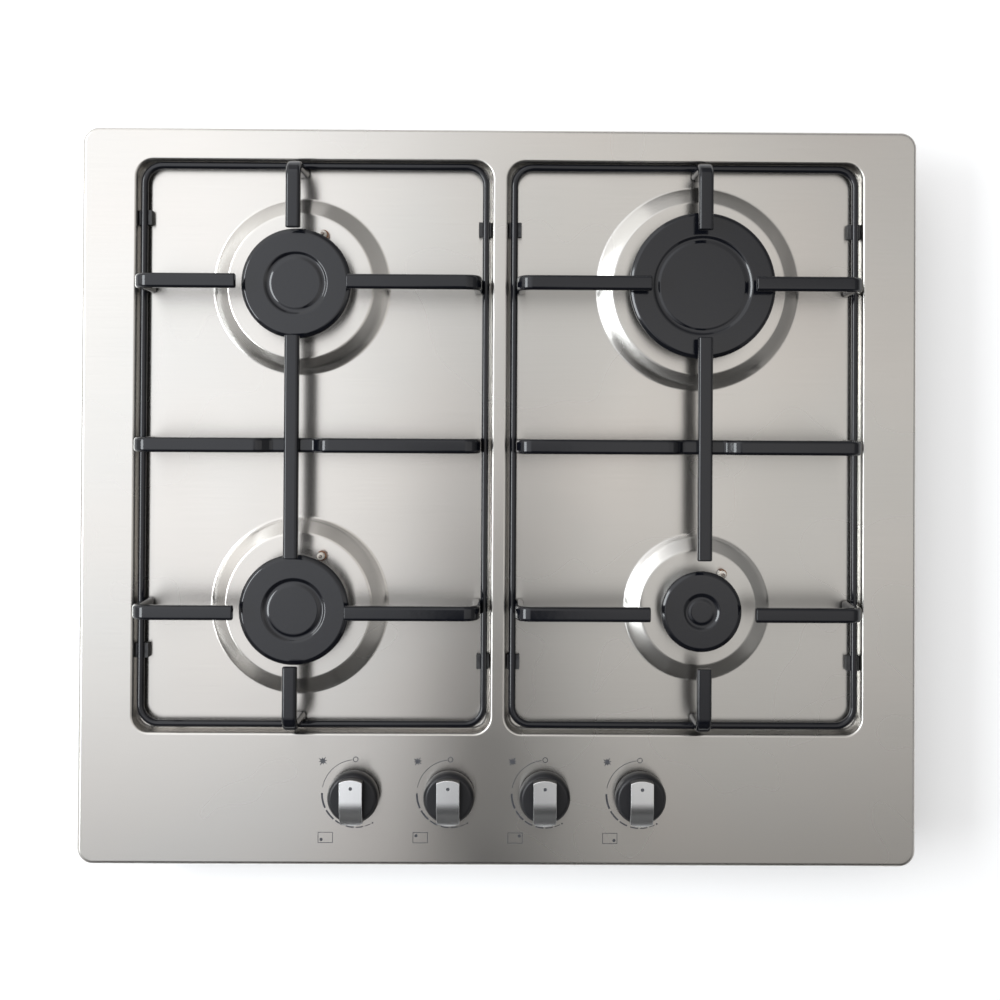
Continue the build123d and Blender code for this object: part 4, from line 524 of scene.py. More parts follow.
stainless = new_finish("brushed stainless", None, 1.0, (0.12, 0.24, 0.285), Anisotropic=0.82)
tree, shader, place = parts_of(stainless)
lines = put_effect(tree, brush_marks, Place=place, Line_Length=0.06, Line_Pitch=0.0005)["Line"]
stains = put_effect(tree, uneven_tone, Place=place, Cloud_Size=0.14, Low=0.0, High=1.0)
sheet_colour = blend_colours(
    tree, stains["Tone"], (0.58, 0.552, 0.518), (0.56, 0.548, 0.522)
)
line_depth = feed(
    tree, tree.nodes.new("ShaderNodeMapRange"), Value=lines, From_Min=0.3, From_Max=0.7,
    To_Min=0.0, To_Max=0.1,
)
across = tree.nodes.new("ShaderNodeTangent")
across.direction_type, across.axis = "RADIAL", "X"
feed(
    tree, shader, Normal=raised_by(tree, lines, 0.00001, 0.3), Tangent=across.outputs["Tangent"],
    Base_Color=blend_colours(tree, line_depth["Result"], sheet_colour, (0.36, 0.348, 0.33)),
)
fit(top, stainless, "hob", "stainless_sheet", "hob_top")

# Rim seal, clamps and knob seals: black closed-cell foam strips under the rim, foam
# rings on the rim round the spindles, and zinc-coated clamps that pull the case down
# to the worktop.

foam = new_finish("closed-cell foam", None, 0.0, 0.85)
tree, shader, place = parts_of(foam)
cells = put_effect(tree, speckle, Place=place, Grain_Size=0.0006)["Speck"]
feed(
    tree, shader, Normal=raised_by(tree, cells, 0.0003),
    Base_Color=blend_colours(tree, cells, (0.012, 0.012, 0.013), (0.04, 0.04, 0.042)),
)
dress(foam, "rim_seal", "knob_seals")
clamps = merged_copy("fixing_clamps", "bent_clamps")
fit(clamps, galvanised, "hob", "galvanised_sheet", "fixing_clamps")

# Spark electrodes: a fired alumina rod with a steel pin through it, ringed just above the
# sheet by a dark brown metal strip with a gap on one side. Each stands at the upper right of its
# burner.


def draw_line(points):
    """Adds a line of edges through the points to the mesh in hand."""
    fresh()
    bpy.ops.mesh.primitive_plane_add(size=mm, location=points[0])
    bpy.ops.mesh.merge(type="CENTER")
    for here, there in zip(points, points[1:]):
        pull([t - h for h, t in zip(here, there)])


def turned(name, profile, centre, corners=96):
    """Closed solid of revolution round an upright axis, from a profile of radii and heights."""
    piece = new_piece(name)
    x, y = centre
    draw_line([(x + radius, y, height) for radius, height in profile])
    bpy.ops.mesh.select_all(action="SELECT")
    bpy.ops.mesh.spin(steps=corners, angle=math.tau, center=(x, y, 0), axis=(0, 0, 1))
    close_up()
    return piece


def eased(profile, easing, steps=3):
    """A profile with each inner corner of two long sides rounded off."""
    points = [profile[0]]
    for before, corner, after in zip(profile, profile[1:], profile[2:]):
        first, second = math.dist(before, corner), math.dist(corner, after)
        cut = min(easing, 0.45 * first, 0.45 * second)
        start = [c + (b - c) * cut / first for b, c in zip(before, corner)]
        end = [c + (a - c) * cut / second for a, c in zip(after, corner)]
        for i in range(steps + 1):
            t = i / steps
            points.append(tuple(
                (1 - t) ** 2 * s + 2 * t * (1 - t) * c + t**2 * e
                for s, c, e in zip(start, corner, end)
            ))
    points.append(profile[-1])
    return points


def fill_ends(piece):
    """Closes a drawn bar or strip at its open ends."""
    pick_edges(piece, lambda place: True)
    bpy.ops.mesh.fill_holes(sides=0)
    bpy.ops.mesh.select_all(action="SELECT")


alumina = new_finish(
    "fired alumina", (0.003, (0.84, 0.82, 0.77), (0.714, 0.652, 0.574)), 0.0, 0.45,
    (0.0003, 0.00003, 1.0),
)
spark_tip = new_finish(
    "spark pin steel", (0.001, (0.36, 0.33, 0.3), (0.2, 0.16, 0.14)), 1.0, 0.4
)
dress(spark_tip, "electrode_pins")
# dark brown finish of the band round each electrode rod, just above the sheet's hole
brown_band_finish = new_finish(
    "dark brown band", (0.002, (0.34, 0.17, 0.09), (0.16, 0.08, 0.05)), 1.0, 0.4
)
pin_r, rod_r, rod_foot_z, rod_top, rod_tip = 1.1 * mm, 2.5 * mm, 34.2 * mm, 65 * mm, 0.7 * mm
shoulder_r, shoulder_z, shoulder_height = 4.2 * mm, 52.2 * mm, 3.5 * mm
brown_band_r, brown_band_z, brown_band_size = 2.95 * mm, 58.6 * mm, (0.7 * mm, 1, 4.4 * mm)
brown_band_wrap, brown_band_turn = math.radians(255), math.radians(130)
outline = eased([
    (pin_r, rod_foot_z), (rod_r, rod_foot_z), (rod_r, shoulder_z - shoulder_height - 1 * mm),
    (shoulder_r, shoulder_z - shoulder_height), (shoulder_r, shoulder_z), (rod_r, shoulder_z),
    (rod_r, rod_top - rod_tip), (rod_r - rod_tip, rod_top), (pin_r, rod_top), (pin_r, rod_foot_z),
], 0.25 * mm, 2)
rods = []
for burner_name, burner in burners.items():
    x, y = burner["spark_at"]
    rod = turned(f"ceramic_rod_{burner_name}", outline, (x, y), 40)
    smooth_rounds(rod, 40)
    rods.append(rod)
    # dark brown band: a metal strip bent three quarters round the rod, open towards the burner
    brown_strip_piece = new_piece(f"brown_strip_{burner_name}")
    brown_band_at = (x + brown_band_r, y, brown_band_z)
    bpy.ops.mesh.primitive_plane_add(size=1, location=brown_band_at, rotation=(math.pi / 2, 0, 0))
    bpy.ops.transform.resize(value=brown_band_size, center_override=brown_band_at)
    bpy.ops.mesh.bevel(offset=0.15 * mm, segments=2, affect="VERTICES")
    bpy.ops.mesh.select_mode(type="FACE")
    bpy.ops.mesh.select_all(action="SELECT")
    bpy.ops.mesh.spin(steps=36, angle=-brown_band_wrap, center=(x, y, 0), axis=(0, 0, 1))
    fill_ends(brown_strip_piece)
    bpy.ops.transform.rotate(value=brown_band_turn, orient_axis="Z", center_override=(x, y, 0))
    close_up()
    smooth_rounds(brown_strip_piece, 40)
    fit(brown_strip_piece, brown_band_finish, "hob", "spark_steel")
alone(rods[0])
for rod in rods[1:]:
    rod.select_set(True)
bpy.ops.object.join()
rods[0].name = "ceramic_rods"
fit(rods[0], alumina, "hob", "alumina", "electrode_insulators")

# Burner crowns: die-cast aluminium rings with a comb of gas ports round their top, set
# loose on the cups' necks.

for burner_name in burners:
    crown = merged_copy(f"burner_crown_{burner_name}", f"cast_crown_{burner_name}", 35)
    fit(crown, casting, f"crown_{burner_name}", "cast_aluminium", f"burner_crown_{burner_name}")

# Burner caps: pressed steel discs in glossy black enamel, bevelled at the edge, with a
# sunk ring round a slightly dished middle. Each lies loose on its crown.

enamel = new_finish(
    "black enamel", (0.004, 0.0045, 0.007), 0.0, (0.03, 0.07, 0.15), (0.004, 0.0001, 0.25),
    IOR=1.49,
)
crown_top, cap_top, cap_bevel = 70 * mm, 76 * mm, 2.6 * mm
collar_drop, collar_gap, hollow = 3.5 * mm, 4.3 * mm, 1.5 * mm
groove_depth, dish_depth, edge_height = 1.2 * mm, 0.6 * mm, 2.2 * mm
for burner_name, burner in burners.items():
    crown_r, cap_r, groove_r = burner["crown"], burner["cap"], burner["groove"]
    collar_r = crown_r - collar_gap
    outline = [
        (0, crown_top + hollow),
        (collar_r - 3 * mm, crown_top + hollow),
        (collar_r - 1.8 * mm, crown_top - collar_drop),
        (collar_r, crown_top - collar_drop),
        (collar_r, crown_top),
        (crown_r, crown_top),
        (cap_r - 0.8 * mm, crown_top + 1.2 * mm),
        (cap_r, crown_top + edge_height),
        (cap_r, cap_top - edge_height),
        (cap_r - 0.6 * mm, cap_top - 1.2 * mm),
        (cap_r - cap_bevel, cap_top),
        (groove_r, cap_top),
        (groove_r - 1.8 * mm, cap_top - groove_depth),
        (groove_r - 3.3 * mm, cap_top - groove_depth),
        (groove_r - 5 * mm, cap_top - dish_depth),
        (0, cap_top - dish_depth),
    ]
    cap = turned(f"enamelled_cap_{burner_name}", eased(outline, 0.8 * mm, 5), burner["at"], 144)
    smooth_rounds(cap, 60)
    fit(cap, enamel, f"cap_{burner_name}", "enamel", f"burner_cap_{burner_name}")

# Knobs: moulded in black plastic, a low round foot with a straight grip across it. A
# thin brushed metal plate covers the grip's top and curls down its front, and carries
# a printed black dot at its rear.

knob_plastic = new_finish(
    "knob plastic", (0.012, 0.012, 0.014), 0.0, (0.008, 0.33, 0.45), (0.0005, 0.00002, 1.0),
    Specular_IOR_Level=0.38,
)
knob_metal = new_finish("knob plate", None, 1.0, 0.26)
tree, shader, place = parts_of(knob_metal)
turned_place = feed(
    tree, tree.nodes.new("ShaderNodeMapping"), Vector=place, Rotation=(0, 0, math.pi / 2)
)["Vector"]
lines = put_effect(tree, brush_marks, Place=turned_place, Line_Length=0.03, Line_Pitch=0.0003)
plate_colour = blend_colours(tree, lines["Line"], (0.96, 0.965, 0.97), (0.84, 0.845, 0.85))
feed(tree, shader, Base_Color=plate_colour)
ink = new_finish(
    "printed ink", (0.0015, (0.03, 0.032, 0.04), (0.07, 0.072, 0.08)), 0.0, 0.5
)

knob_foot_z, knob_base_z, knob_top_z = 61.6 * mm, 73 * mm, 82 * mm
knob_r, knob_foot_r, seal_r, seal_rise = 17.7 * mm, 16.8 * mm, 16 * mm, 5 * mm
grip_width, grip_end_r, grip_rear_r, grip_front_z = 15.4 * mm, 17.2 * mm, 15.2 * mm, 75.6 * mm
curve_start, stations, plate = 1 * mm, 18, 1 * mm
dot_r, dot_y, dot_depth, dot_sunk = 1.2 * mm, 9.7 * mm, 0.06 * mm, 0.01 * mm


def grip_blank(name, x, inset):
    """Straight-sided grip with round ends, its top falling to the front in one long curve."""
    piece = new_piece(name)
    high, low = knob_top_z - inset, knob_base_z - 1 * mm
    bpy.ops.mesh.primitive_cylinder_add(
        vertices=128, radius=grip_end_r, depth=high - low, location=(x, tap_y, (high + low) / 2)
    )
    for side in (-1, 1):
        bpy.ops.mesh.select_all(action="SELECT")
        bpy.ops.mesh.bisect(
            plane_co=(x + side * grip_width / 2, 0, 0), plane_no=(side, 0, 0), use_fill=True,
            clear_outer=True,
        )
    # rear end stands a little further in than the front one
    pick_corners(piece, lambda place: place.y > tap_y + 5 * mm)
    bpy.ops.transform.translate(value=(0, grip_rear_r - grip_end_r, 0))
    # stations along the top, lowered onto the curve
    run, fall = curve_start + grip_end_r, knob_top_z - grip_front_z
    for i in range(stations):
        bpy.ops.mesh.select_all(action="SELECT")
        cut_y = tap_y + curve_start - run * i / stations
        bpy.ops.mesh.bisect(plane_co=(0, cut_y, 0), plane_no=(0, 1, 0))
    curve_r = (run**2 + fall**2) / (2 * fall) - inset

    def back_on_top(place):
        """Distance from the curve's start of a place on the top, or 0."""
        return curve_start - (place.y - tap_y) if place.z > high - 0.01 * mm else 0

    shape = bmesh.from_edit_mesh(piece.data)
    for back in sorted({round(back_on_top(corner.co), 7) for corner in shape.verts}):
        if back > 1e-6:
            pick_corners(piece, lambda place: abs(back_on_top(place) - back) < 2e-7)
            drop = curve_r - math.sqrt(curve_r**2 - back**2)
            bpy.ops.transform.translate(value=(0, 0, -drop))
    bpy.ops.object.mode_set(mode="OBJECT")
    return piece


def ease_edges(piece, width, degrees):
    """Rounds the edges that turn by more than an angle."""
    alone(piece)
    edge = piece.modifiers.new("edge", "BEVEL")
    edge.width, edge.segments, edge.limit_method = width, 3, "ANGLE"
    edge.angle_limit = math.radians(degrees)
    bpy.ops.object.modifier_apply(modifier=edge.name)


outline = eased([
    (0, knob_foot_z + seal_rise), (seal_r, knob_foot_z + seal_rise), (seal_r, knob_foot_z),
    (knob_foot_r, knob_foot_z), (knob_r - 0.3 * mm, knob_foot_z + 2.5 * mm),
    (knob_r, knob_base_z - 5.5 * mm), (knob_r - 0.5 * mm, knob_base_z - 2.5 * mm),
    (knob_r - 2.2 * mm, knob_base_z), (0, knob_base_z),
], 1.2 * mm, 4)
for tap_name, tap_x in zip(tap_names, tap_xs):
    foot = turned(f"knob_foot_{tap_name}", outline, (tap_x, tap_y), 112)
    smooth_rounds(foot, 50)
    fit(foot, knob_plastic, f"knob_{tap_name}", "knob_plastic", f"knob_body_{tap_name}")
    core = grip_blank(f"knob_core_{tap_name}", tap_x, plate)
    smooth_rounds(core, 40)
    fit(core, knob_plastic, f"knob_{tap_name}", "knob_plastic")
    # plate: only the top face of a full-size grip is kept, and gets its thickness
    cover = grip_blank(f"knob_plate_{tap_name}", tap_x, 0)
    alone(cover, "EDIT")
    fresh("FACE")
    shape = bmesh.from_edit_mesh(cover.data)
    shape.normal_update()
    for face in shape.faces:
        middle_z = face.calc_center_median().z
        face.select_set(not (face.normal.z > 0.3 and middle_z > grip_front_z - 1 * mm))
    bmesh.update_edit_mesh(cover.data)
    bpy.ops.mesh.delete(type="FACE")
    bpy.ops.object.mode_set(mode="OBJECT")
    thicken(cover, plate)
    ease_edges(cover, 0.45 * mm, 50)
    smooth_rounds(cover, 60)
    fit(cover, knob_metal, f"knob_{tap_name}", "knob_metal", f"knob_grip_{tap_name}")
    dot = new_piece(f"knob_dot_{tap_name}")
    bpy.ops.mesh.primitive_cylinder_add(
        vertices=32, radius=dot_r, depth=dot_depth,
        location=(tap_x, tap_y + dot_y, knob_top_z + dot_depth / 2 - dot_sunk),
    )
    bpy.ops.object.mode_set(mode="OBJECT")
    fit(dot, ink, f"knob_{tap_name}", "knob_plastic")

# Printed marks: dark grey ink on the rim round each knob. A ring for off, a spark star,
# a thin line between them, dashes that thin out towards the low flame, and a rectangle
# with a dot that shows which burner the knob serves.

print_z, print_depth, thin_line = rim_z + 0.015 * mm, 0.03 * mm, 0.42 * mm
mark_r, arc_turns = 23.3 * mm, (6.6, 79.3)
dashes = (
    (89.4, 115.3, 1.3), (119.6, 139.4, 1.2), (143, 157.6, 1.0), (163.3, 177.1, 0.85),
    (180.4, 193, 0.7), (196, 206.1, 0.5),
)
last_dot_turn, last_dot_r, burner_dot_r = math.radians(209.9), 0.6 * mm, 1.1 * mm
box_width, box_height = 10.4 * mm, 7.5 * mm
burner_dots = {
    "front_left": (-1, -1), "rear_left": (-1, 1), "rear_right": (1, 1), "front_right": (1, -1)
}
star_points = (0.85, 1.0, 0.75, 0.95, 0.8, 1.0, 0.75, 0.9)


def flat_disc(x, y, radius, corners=24, turn=0):
    """Adds a disc of ink and leaves it selected."""
    fresh()
    bpy.ops.mesh.primitive_circle_add(
        vertices=corners, radius=radius, fill_type="NGON", location=(x, y, print_z),
        rotation=(0, 0, turn),
    )


def take_middle_out(line):
    """Leaves a line of ink along the outline of the face that is selected."""
    bpy.ops.mesh.select_mode(type="FACE")
    bpy.ops.mesh.inset(thickness=line)
    bpy.ops.mesh.delete(type="FACE")


def flat_arc(x, y, start, end, line):
    """Curved line of ink; angles run anticlockwise from straight ahead, in degrees."""
    draw_line([(x, y + mark_r - line / 2, print_z), (x, y + mark_r + line / 2, print_z)])
    shape = bmesh.from_edit_mesh(bpy.context.object.data)
    for corner in shape.verts:
        if corner.select:
            for linked in corner.link_edges:
                linked.select_set(True)
    bmesh.update_edit_mesh(bpy.context.object.data)
    bpy.ops.transform.rotate(
        value=-math.radians(start), orient_axis="Z", center_override=(x, y, 0)
    )
    steps = max(3, round((end - start) / 3))
    bpy.ops.mesh.spin(
        steps=steps, angle=-math.radians(end - start), center=(x, y, 0), axis=(0, 0, 1)
    )


def flat_star(x, y, radius):
    """Spark star with uneven points, each pulled out of a small disc by two corners."""
    body, first = radius * 0.42, math.radians(10)
    corners = 3 * len(star_points)
    flat_disc(x, y, body, corners, first + math.pi / corners)
    for number, length in enumerate(star_points):
        turn = first + math.tau * number / len(star_points)
        way = (math.cos(turn), math.sin(turn))
        root = (x + body * way[0], y + body * way[1])
        pick_corners(
            bpy.context.object, lambda place: math.dist(place.xy, root) < body * 0.2
        )
        reach = radius * length - body
        bpy.ops.transform.translate(value=(reach * way[0], reach * way[1], 0))


marks = new_piece("printed_marks")
for tap_name, tap_x in zip(tap_names, tap_xs):
    ring_x, ring_y = tap_x + 0.7 * mm, tap_y - 0.3 * mm
    flat_disc(tap_x + 0.5 * mm, tap_y + 23.2 * mm, 1.9 * mm, 40)
    take_middle_out(0.5 * mm)
    flat_star(tap_x - 22.1 * mm, tap_y + 22 * mm, 3.3 * mm)
    flat_arc(ring_x, ring_y, *arc_turns, thin_line)
    for start, end, line in dashes:
        flat_arc(ring_x, ring_y, start, end, line * mm)
    flat_disc(
        ring_x - mark_r * math.sin(last_dot_turn), ring_y + mark_r * math.cos(last_dot_turn),
        last_dot_r,
    )
    box_at = (tap_x - 20.1 * mm, tap_y - 30.6 * mm, print_z)
    fresh()
    bpy.ops.mesh.primitive_plane_add(size=1, location=box_at)
    bpy.ops.transform.resize(value=(box_width, box_height, 1), center_override=box_at)
    take_middle_out(thin_line)
    hand, row = burner_dots[tap_name]
    flat_disc(box_at[0] + hand * 2.9 * mm, box_at[1] + row * 1.4 * mm, burner_dot_r)
close_up()
thicken(marks, print_depth, 0)
coat(marks, ink)
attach(marks, "hob")

# Pan supports: a round wire frame lies in each well. Flat bars with round edges are
# bent down over it and welded on, and the whole is dipped in glossy black enamel. The
# cross bar dips to pass under the long centre bar.

bar_enamel = enamel.copy()
bar_enamel.name = "pan support enamel"
parts_of(bar_enamel)[1].inputs["IOR"].default_value = 1.45


def direction(start, end):
    """Unit vector from one point to another."""
    return [(e - s) / math.dist(start, end) for s, e in zip(start, end)]


def cross_product(a, b):
    """Vector at right angles to two others."""
    return [a[i - 2] * b[i - 1] - a[i - 1] * b[i - 2] for i in range(3)]


def along_path(points, bend_r):
    """Extrudes the selected outline along straight runs and spins it round each bend."""
    here = points[0]
    for before, corner, after in zip(points, points[1:], points[2:] + [None]):
        way = direction(before, corner)
        turn = 0
        if after:
            next_way = direction(corner, after)
            turn = math.acos(max(-1, min(1, sum(a * b for a, b in zip(way, next_way)))))
        cut = bend_r * math.tan(turn / 2)
        end = [c - w * cut for c, w in zip(corner, way)]
        pull([e - h for e, h in zip(end, here)])
        here = end
        if turn > 1e-4:
            axis = direction((0, 0, 0), cross_product(way, next_way))
            inward = cross_product(axis, way)
            bpy.ops.mesh.spin(
                steps=max(3, round(math.degrees(turn) / 7)), angle=-turn, axis=axis,
                center=[h + i * bend_r for h, i in zip(here, inward)],
            )
            here = [c + w * cut for c, w in zip(corner, next_way)]


wire_r, wire_z, wire_bend_r = 2.5 * mm, 54 * mm, 13 * mm
wire_half_width, wire_half_depth = 118.85 * mm, 193.75 * mm
support_x, support_y = 128.75 * mm, 35.5 * mm
bar_width, bar_thickness, bar_edge, bar_tip = 10 * mm, 6 * mm, 2.3 * mm, 0.9 * mm
bar_z, leg_foot_z, bar_bend_r = 88 * mm, 51.5 * mm, 8 * mm
leg_half_width, leg_half_depth = 113.95 * mm, 188.85 * mm
finger_gap, outer_finger_gaps = 36 * mm, {"left": 38.4 * mm, "right": 34.4 * mm}
dip_start, dip_end = 23 * mm, 15 * mm
burner_off, rear_y, front_y = 138.5 * mm, 145.5 * mm, -76.5 * mm


def flat_bar(points, across):
    """Adds one bent bar to the mesh in hand; its first run goes straight up or level."""
    fresh()
    start = points[0]
    upright = start[2] != points[1][2]
    bpy.ops.mesh.primitive_plane_add(
        size=1, location=start, rotation=(0 if upright else math.pi / 2, 0, 0)
    )
    if not upright:
        size = (bar_width, 1, bar_thickness)
    elif across == "x":
        size = (bar_width, bar_thickness, 1)
    else:
        size = (bar_thickness, bar_width, 1)
    bpy.ops.transform.resize(value=size, center_override=start)
    bpy.ops.mesh.bevel(offset=bar_edge, segments=6, affect="VERTICES")
    bpy.ops.mesh.delete(type="ONLY_FACE")
    bpy.ops.mesh.select_mode(type="EDGE")
    bpy.ops.mesh.select_loose()
    along_path(points, bar_bend_r)


for side_name, side in (("left", -1), ("right", 1)):
    middle_x, burner_x = side * support_x, side * burner_off
    ring = new_piece(f"wire_frame_{side_name}")
    left, right = middle_x - wire_half_width, middle_x + wire_half_width
    front, rear = support_y - wire_half_depth, support_y + wire_half_depth
    start = (middle_x, front, wire_z)
    bpy.ops.mesh.primitive_circle_add(
        vertices=24, radius=wire_r, location=start, rotation=(0, math.pi / 2, 0)
    )
    along_path([
        start, (right, front, wire_z), (right, rear, wire_z), (left, rear, wire_z),
        (left, front, wire_z), start,
    ], wire_bend_r)
    close_up()
    smooth_rounds(ring, 60)
    fit(ring, bar_enamel, f"{side_name}_pan_support", "enamel", f"{side_name}_support_ring")

    # fingers: six short bars, bent down to the wire
    fingers = new_piece(f"bent_fingers_{side_name}")
    for row_y, toward in ((rear_y, 1), (front_y, -1)):
        leg_y = support_y + toward * leg_half_depth
        flat_bar([(burner_x, leg_y, leg_foot_z), (burner_x, leg_y, bar_z),
                  (burner_x, row_y + toward * finger_gap, bar_z)], "x")
        for hand in (-1, 1):
            leg_x = middle_x + hand * leg_half_width
            gap = outer_finger_gaps[side_name] if hand == side else finger_gap
            flat_bar([(leg_x, row_y, leg_foot_z), (leg_x, row_y, bar_z),
                      (burner_x + hand * gap, row_y, bar_z)], "y")
    fill_ends(fingers)
    close_up()
    ease_edges(fingers, bar_tip, 60)
    smooth_rounds(fingers, 50)
    fit(
        fingers, bar_enamel, f"{side_name}_pan_support", "enamel",
        f"{side_name}_support_fingers",
    )

    # cross bar, dipping under the centre bar
    cross = new_piece(f"cross_bar_{side_name}")
    low_z = bar_z - bar_thickness
    flat_bar([(x, support_y, z) for x, z in (
        (middle_x - leg_half_width, leg_foot_z), (middle_x - leg_half_width, bar_z),
        (burner_x - dip_start, bar_z), (burner_x - dip_end, low_z),
        (burner_x + dip_end, low_z), (burner_x + dip_start, bar_z),
        (middle_x + leg_half_width, bar_z), (middle_x + leg_half_width, leg_foot_z),
    )], "y")
    fill_ends(cross)
    close_up()
    smooth_rounds(cross, 50)
    fit(cross, bar_enamel, f"{side_name}_pan_support", "enamel", f"{side_name}_support_cross_bar")

    # centre bar, from burner to burner
    centre = new_piece(f"centre_bar_{side_name}")
    flat_bar([(burner_x, front_y + finger_gap, bar_z), (burner_x, rear_y - finger_gap, bar_z)], "x")
    fill_ends(centre)
    close_up()
    ease_edges(centre, bar_tip, 60)
    smooth_rounds(centre, 50)
    fit(
        centre, bar_enamel, f"{side_name}_pan_support", "enamel",
        f"{side_name}_support_centre_bar",
    )

# Rubber feet: black moulded blocks that clip up round the side wires and keep the
# enamel off the steel, with their outer lower edge cut back.

rubber = new_finish(
    "foot rubber", (0.004, (0.014, 0.014, 0.015), (0.035, 0.035, 0.036)), 0.0, 0.7,
    (0.0006, 0.00006, 1.0),
)
for side_name in ("left", "right"):
    feet = merged_copy(f"{side_name}_support_feet", f"rubber_feet_{side_name}")
    fit(feet, rubber, f"{side_name}_pan_support", "foot_rubber", f"{side_name}_support_feet")

# Studio: a white floor and surroundings, a large soft diffuser overhead that is brightest
# at the left rear, one standing there, a window at the left, dark cloths in front and at
# the sides, and the camera straight overhead, leaning a little to the rear.


def combine(tree, operation, first, second):
    """Works out one number from two."""
    node = tree.nodes.new("ShaderNodeMath")
    node.operation = operation
    for socket, value in zip(node.inputs, (first, second)):
        if isinstance(value, bpy.types.NodeSocket):
            tree.links.new(value, socket)
        else:
            socket.default_value = value
    return node.outputs[0]


def fade(tree, value, start, end, low, high, curve="SMOOTHERSTEP"):
    """Step from low to high while the value goes from start to end."""
    node = tree.nodes.new("ShaderNodeMapRange")
    node.interpolation_type = curve
    feed(tree, node, Value=value, From_Min=start, From_Max=end, To_Min=low, To_Max=high)
    return node.outputs["Result"]


def where_seen(tree, lighting, seen):
    """One strength for the light that falls on the object, and one for what is seen."""
    rays = tree.nodes.new("ShaderNodeLightPath").outputs
    direct = combine(tree, "MAXIMUM", rays["Is Camera Ray"], rays["Is Glossy Ray"])
    direct = combine(tree, "MAXIMUM", direct, rays["Is Transmission Ray"])
    return fade(tree, direct, 0.0, 1.0, lighting, seen, "LINEAR")


def lit_cloth(name):
    """Glowing cloth whose strength is worked out from its place in the studio."""
    material = bpy.data.materials.new(name)
    material.use_nodes = True
    tree = material.node_tree
    tree.nodes.clear()
    place = tree.nodes.new("ShaderNodeSeparateXYZ")
    tree.links.new(tree.nodes.new("ShaderNodeTexCoord").outputs["Object"], place.inputs[0])
    glow = tree.nodes.new("ShaderNodeEmission")
    output = tree.nodes.new("ShaderNodeOutputMaterial")
    tree.links.new(glow.outputs["Emission"], output.inputs["Surface"])
    return material, tree, place.outputs, glow


def hang(cloth, material):
    """Stages a cloth that lights the object and shows in it, and is not seen itself."""
    bpy.ops.object.mode_set(mode="OBJECT")
    coat(cloth, material)
    cloth.visible_camera = False


floor = new_piece("floor")
bpy.ops.mesh.primitive_plane_add(size=8, location=(0, 0, -0.2 * mm))
bpy.ops.object.mode_set(mode="OBJECT")
paper = new_finish("white paper", (0.82, 0.82, 0.82), 0.0, (0.5, 0.85, 0.95))
tree, shader = parts_of(paper)[:2]
glow = tree.nodes.new("ShaderNodeEmission")
both = tree.nodes.new("ShaderNodeAddShader")
feed(tree, glow, Strength=where_seen(tree, 0.0, 0.3))
tree.links.new(shader.outputs["BSDF"], both.inputs[0])
tree.links.new(glow.outputs["Emission"], both.inputs[1])
tree.links.new(both.outputs[0], tree.nodes["result"].inputs["Surface"])
coat(floor, paper)

world = bpy.data.worlds.new("studio")
bpy.context.scene.world = world
world.use_nodes = True
tree = world.node_tree
tree.nodes.clear()
surround = tree.nodes.new("ShaderNodeBackground")
feed(tree, surround, Strength=where_seen(tree, 0.5, 1.0))
world_out = tree.nodes.new("ShaderNodeOutputWorld")
tree.links.new(surround.outputs[0], world_out.inputs["Surface"])

overhead, tree, spot, glow = lit_cloth("overhead diffuser")
rear_fall = fade(tree, spot["Y"], -0.95, -0.1, 0.42, 1.07)
left_part = fade(tree, spot["X"], -0.75, 0.25, 0.92, 0.0)
left_rear = fade(tree, spot["Y"], -0.75, 0.0, 0.58, 0.82)
strength = combine(tree, "ADD", rear_fall, combine(tree, "MULTIPLY", left_part, left_rear))
# a second lamp behind the cloth over the right well
aside = combine(tree, "POWER", combine(tree, "SUBTRACT", spot["X"], 0.32), 2.0)
ahead = combine(tree, "POWER", spot["Y"], 2.0)
from_lamp = combine(tree, "POWER", combine(tree, "ADD", aside, ahead), 0.5)
strength = combine(tree, "ADD", strength, fade(tree, from_lamp, 0.1, 0.5, 0.17, 0.0))
# right rear corner falls off
right_part = fade(tree, spot["X"], 0.2, 0.75, 0.0, 0.27)
right_rear = fade(tree, spot["Y"], 0.1, 0.5, 0.0, 1.0)
kept = combine(tree, "SUBTRACT", 1.0, combine(tree, "MULTIPLY", right_part, right_rear))
strength = combine(tree, "MULTIPLY", strength, kept)
# a narrow dark strip from the front to the middle
aside = combine(tree, "ABSOLUTE", combine(tree, "ADD", spot["X"], 0.035), 0.0)
beside = fade(tree, aside, 0.035, 0.2, 0.03, 1.0)
beyond = fade(tree, spot["Y"], -0.62, 0.3, 0.0, 1.0)
strength = combine(tree, "MULTIPLY", strength, combine(tree, "MAXIMUM", beside, beyond))
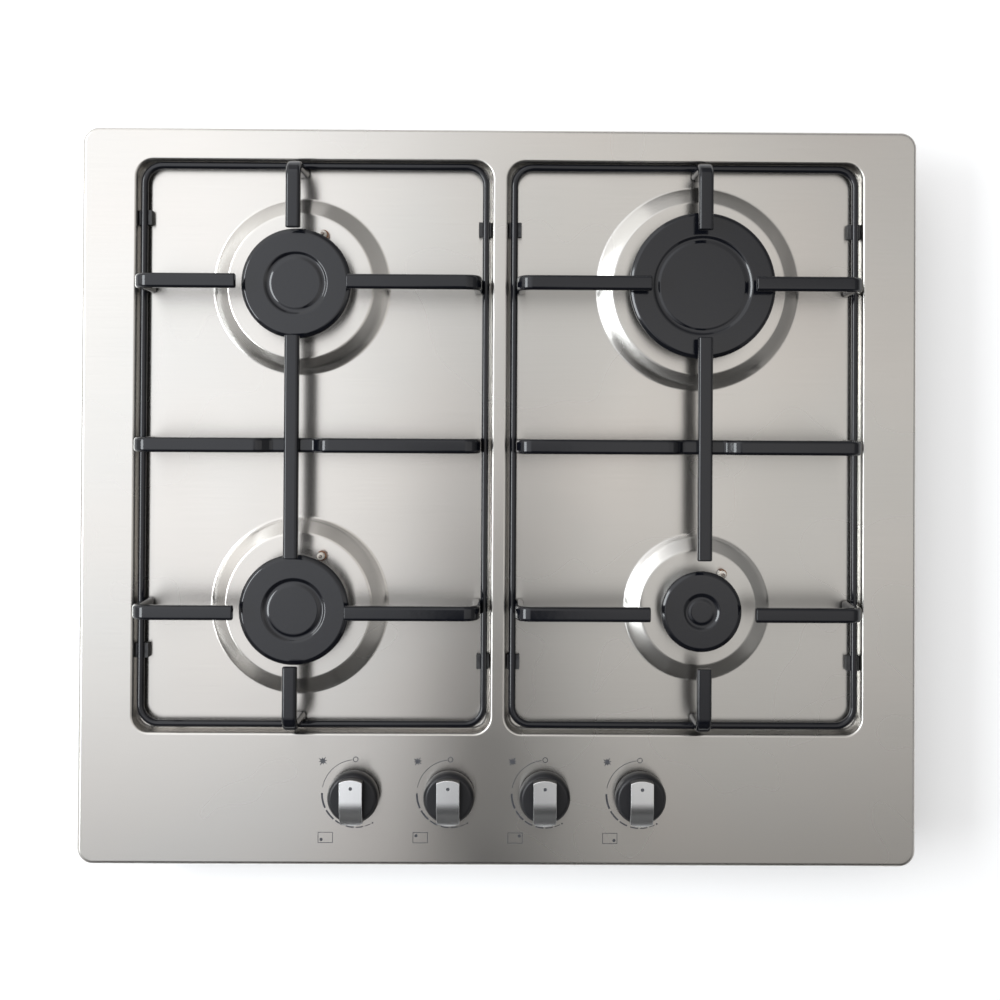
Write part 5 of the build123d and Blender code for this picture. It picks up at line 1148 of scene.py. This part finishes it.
# the diffuser ends ahead of the object
strength = combine(tree, "MULTIPLY", strength, fade(tree, spot["Y"], -1.35, -0.8, 0.08, 1.0))
to_the_right = fade(tree, spot["X"], -0.6, 0.4, 0.0, 1.0)
lamp_tint = blend_colours(tree, to_the_right, (0.975, 0.99, 1.02), (1.0, 0.985, 0.97))
feed(tree, glow, Strength=strength, Color=lamp_tint)
ceiling = new_piece("overhead_diffuser")
bpy.ops.mesh.primitive_plane_add(size=4.4, location=(0, 0, 1.7))
bpy.ops.mesh.flip_normals()
hang(ceiling, overhead)

window, tree, spot, glow = lit_cloth("side window")
feed(tree, glow, Strength=11.0, Color=(0.93, 0.97, 1.0, 1))
pane, pane_at = new_piece("side_window"), (-1.35, 0.1, 1.27)
bpy.ops.mesh.primitive_plane_add(size=1, location=pane_at, rotation=(0, math.pi / 2, 0))
bpy.ops.transform.resize(value=(1, 1.3, 0.75), center_override=pane_at)
hang(pane, window)

# cloths on a circle round the object: the light up their height, their ends and heights
circle_r = 2.2
for name, lights, start, end, low, high in (
    ("standing_diffuser", (0.1, 0.7, 0.8, 1.6), 108, 172, 0.25, 1.7),
    ("front_cloth", (0.2, 1.9, 0.06, 0.13), 232, 318, 0.01, 1.7),
    ("right_cloth", (0.2, 1.9, 0.27, 0.45), 318, 448, 0.25, 1.7),
    ("left_cloth", (0.2, 1.9, 0.27, 0.45), 208, 232, 0.25, 1.7),
):
    material, tree, spot, glow = lit_cloth(name)
    feed(tree, glow, Strength=fade(tree, spot["Z"], *lights))
    cloth = new_piece(name)
    draw_line([(circle_r, 0, low), (circle_r, 0, high)])
    bpy.ops.mesh.select_all(action="SELECT")
    bpy.ops.mesh.spin(
        steps=12, angle=-math.radians(end - start), center=(0, 0, 0), axis=(0, 0, 1)
    )
    bpy.ops.mesh.select_all(action="SELECT")
    bpy.ops.transform.rotate(
        value=-math.radians(start), orient_axis="Z", center_override=(0, 0, 0)
    )
    hang(cloth, material)

eye = bpy.data.cameras.new("camera")
eye.sensor_width, eye.lens = 36, 45.8
eye.shift_x, eye.shift_y = -0.0245, -0.0921
camera = bpy.data.objects.new("camera", eye)
bpy.context.scene.collection.objects.link(camera)
camera.location = (12.5 * mm, 53 * mm, 940 * mm)
camera.rotation_euler = [math.radians(turn) for turn in (0.563, -0.33, 0.323)]
bpy.context.scene.camera = camera
bpy.context.scene.view_settings.view_transform = "Standard"
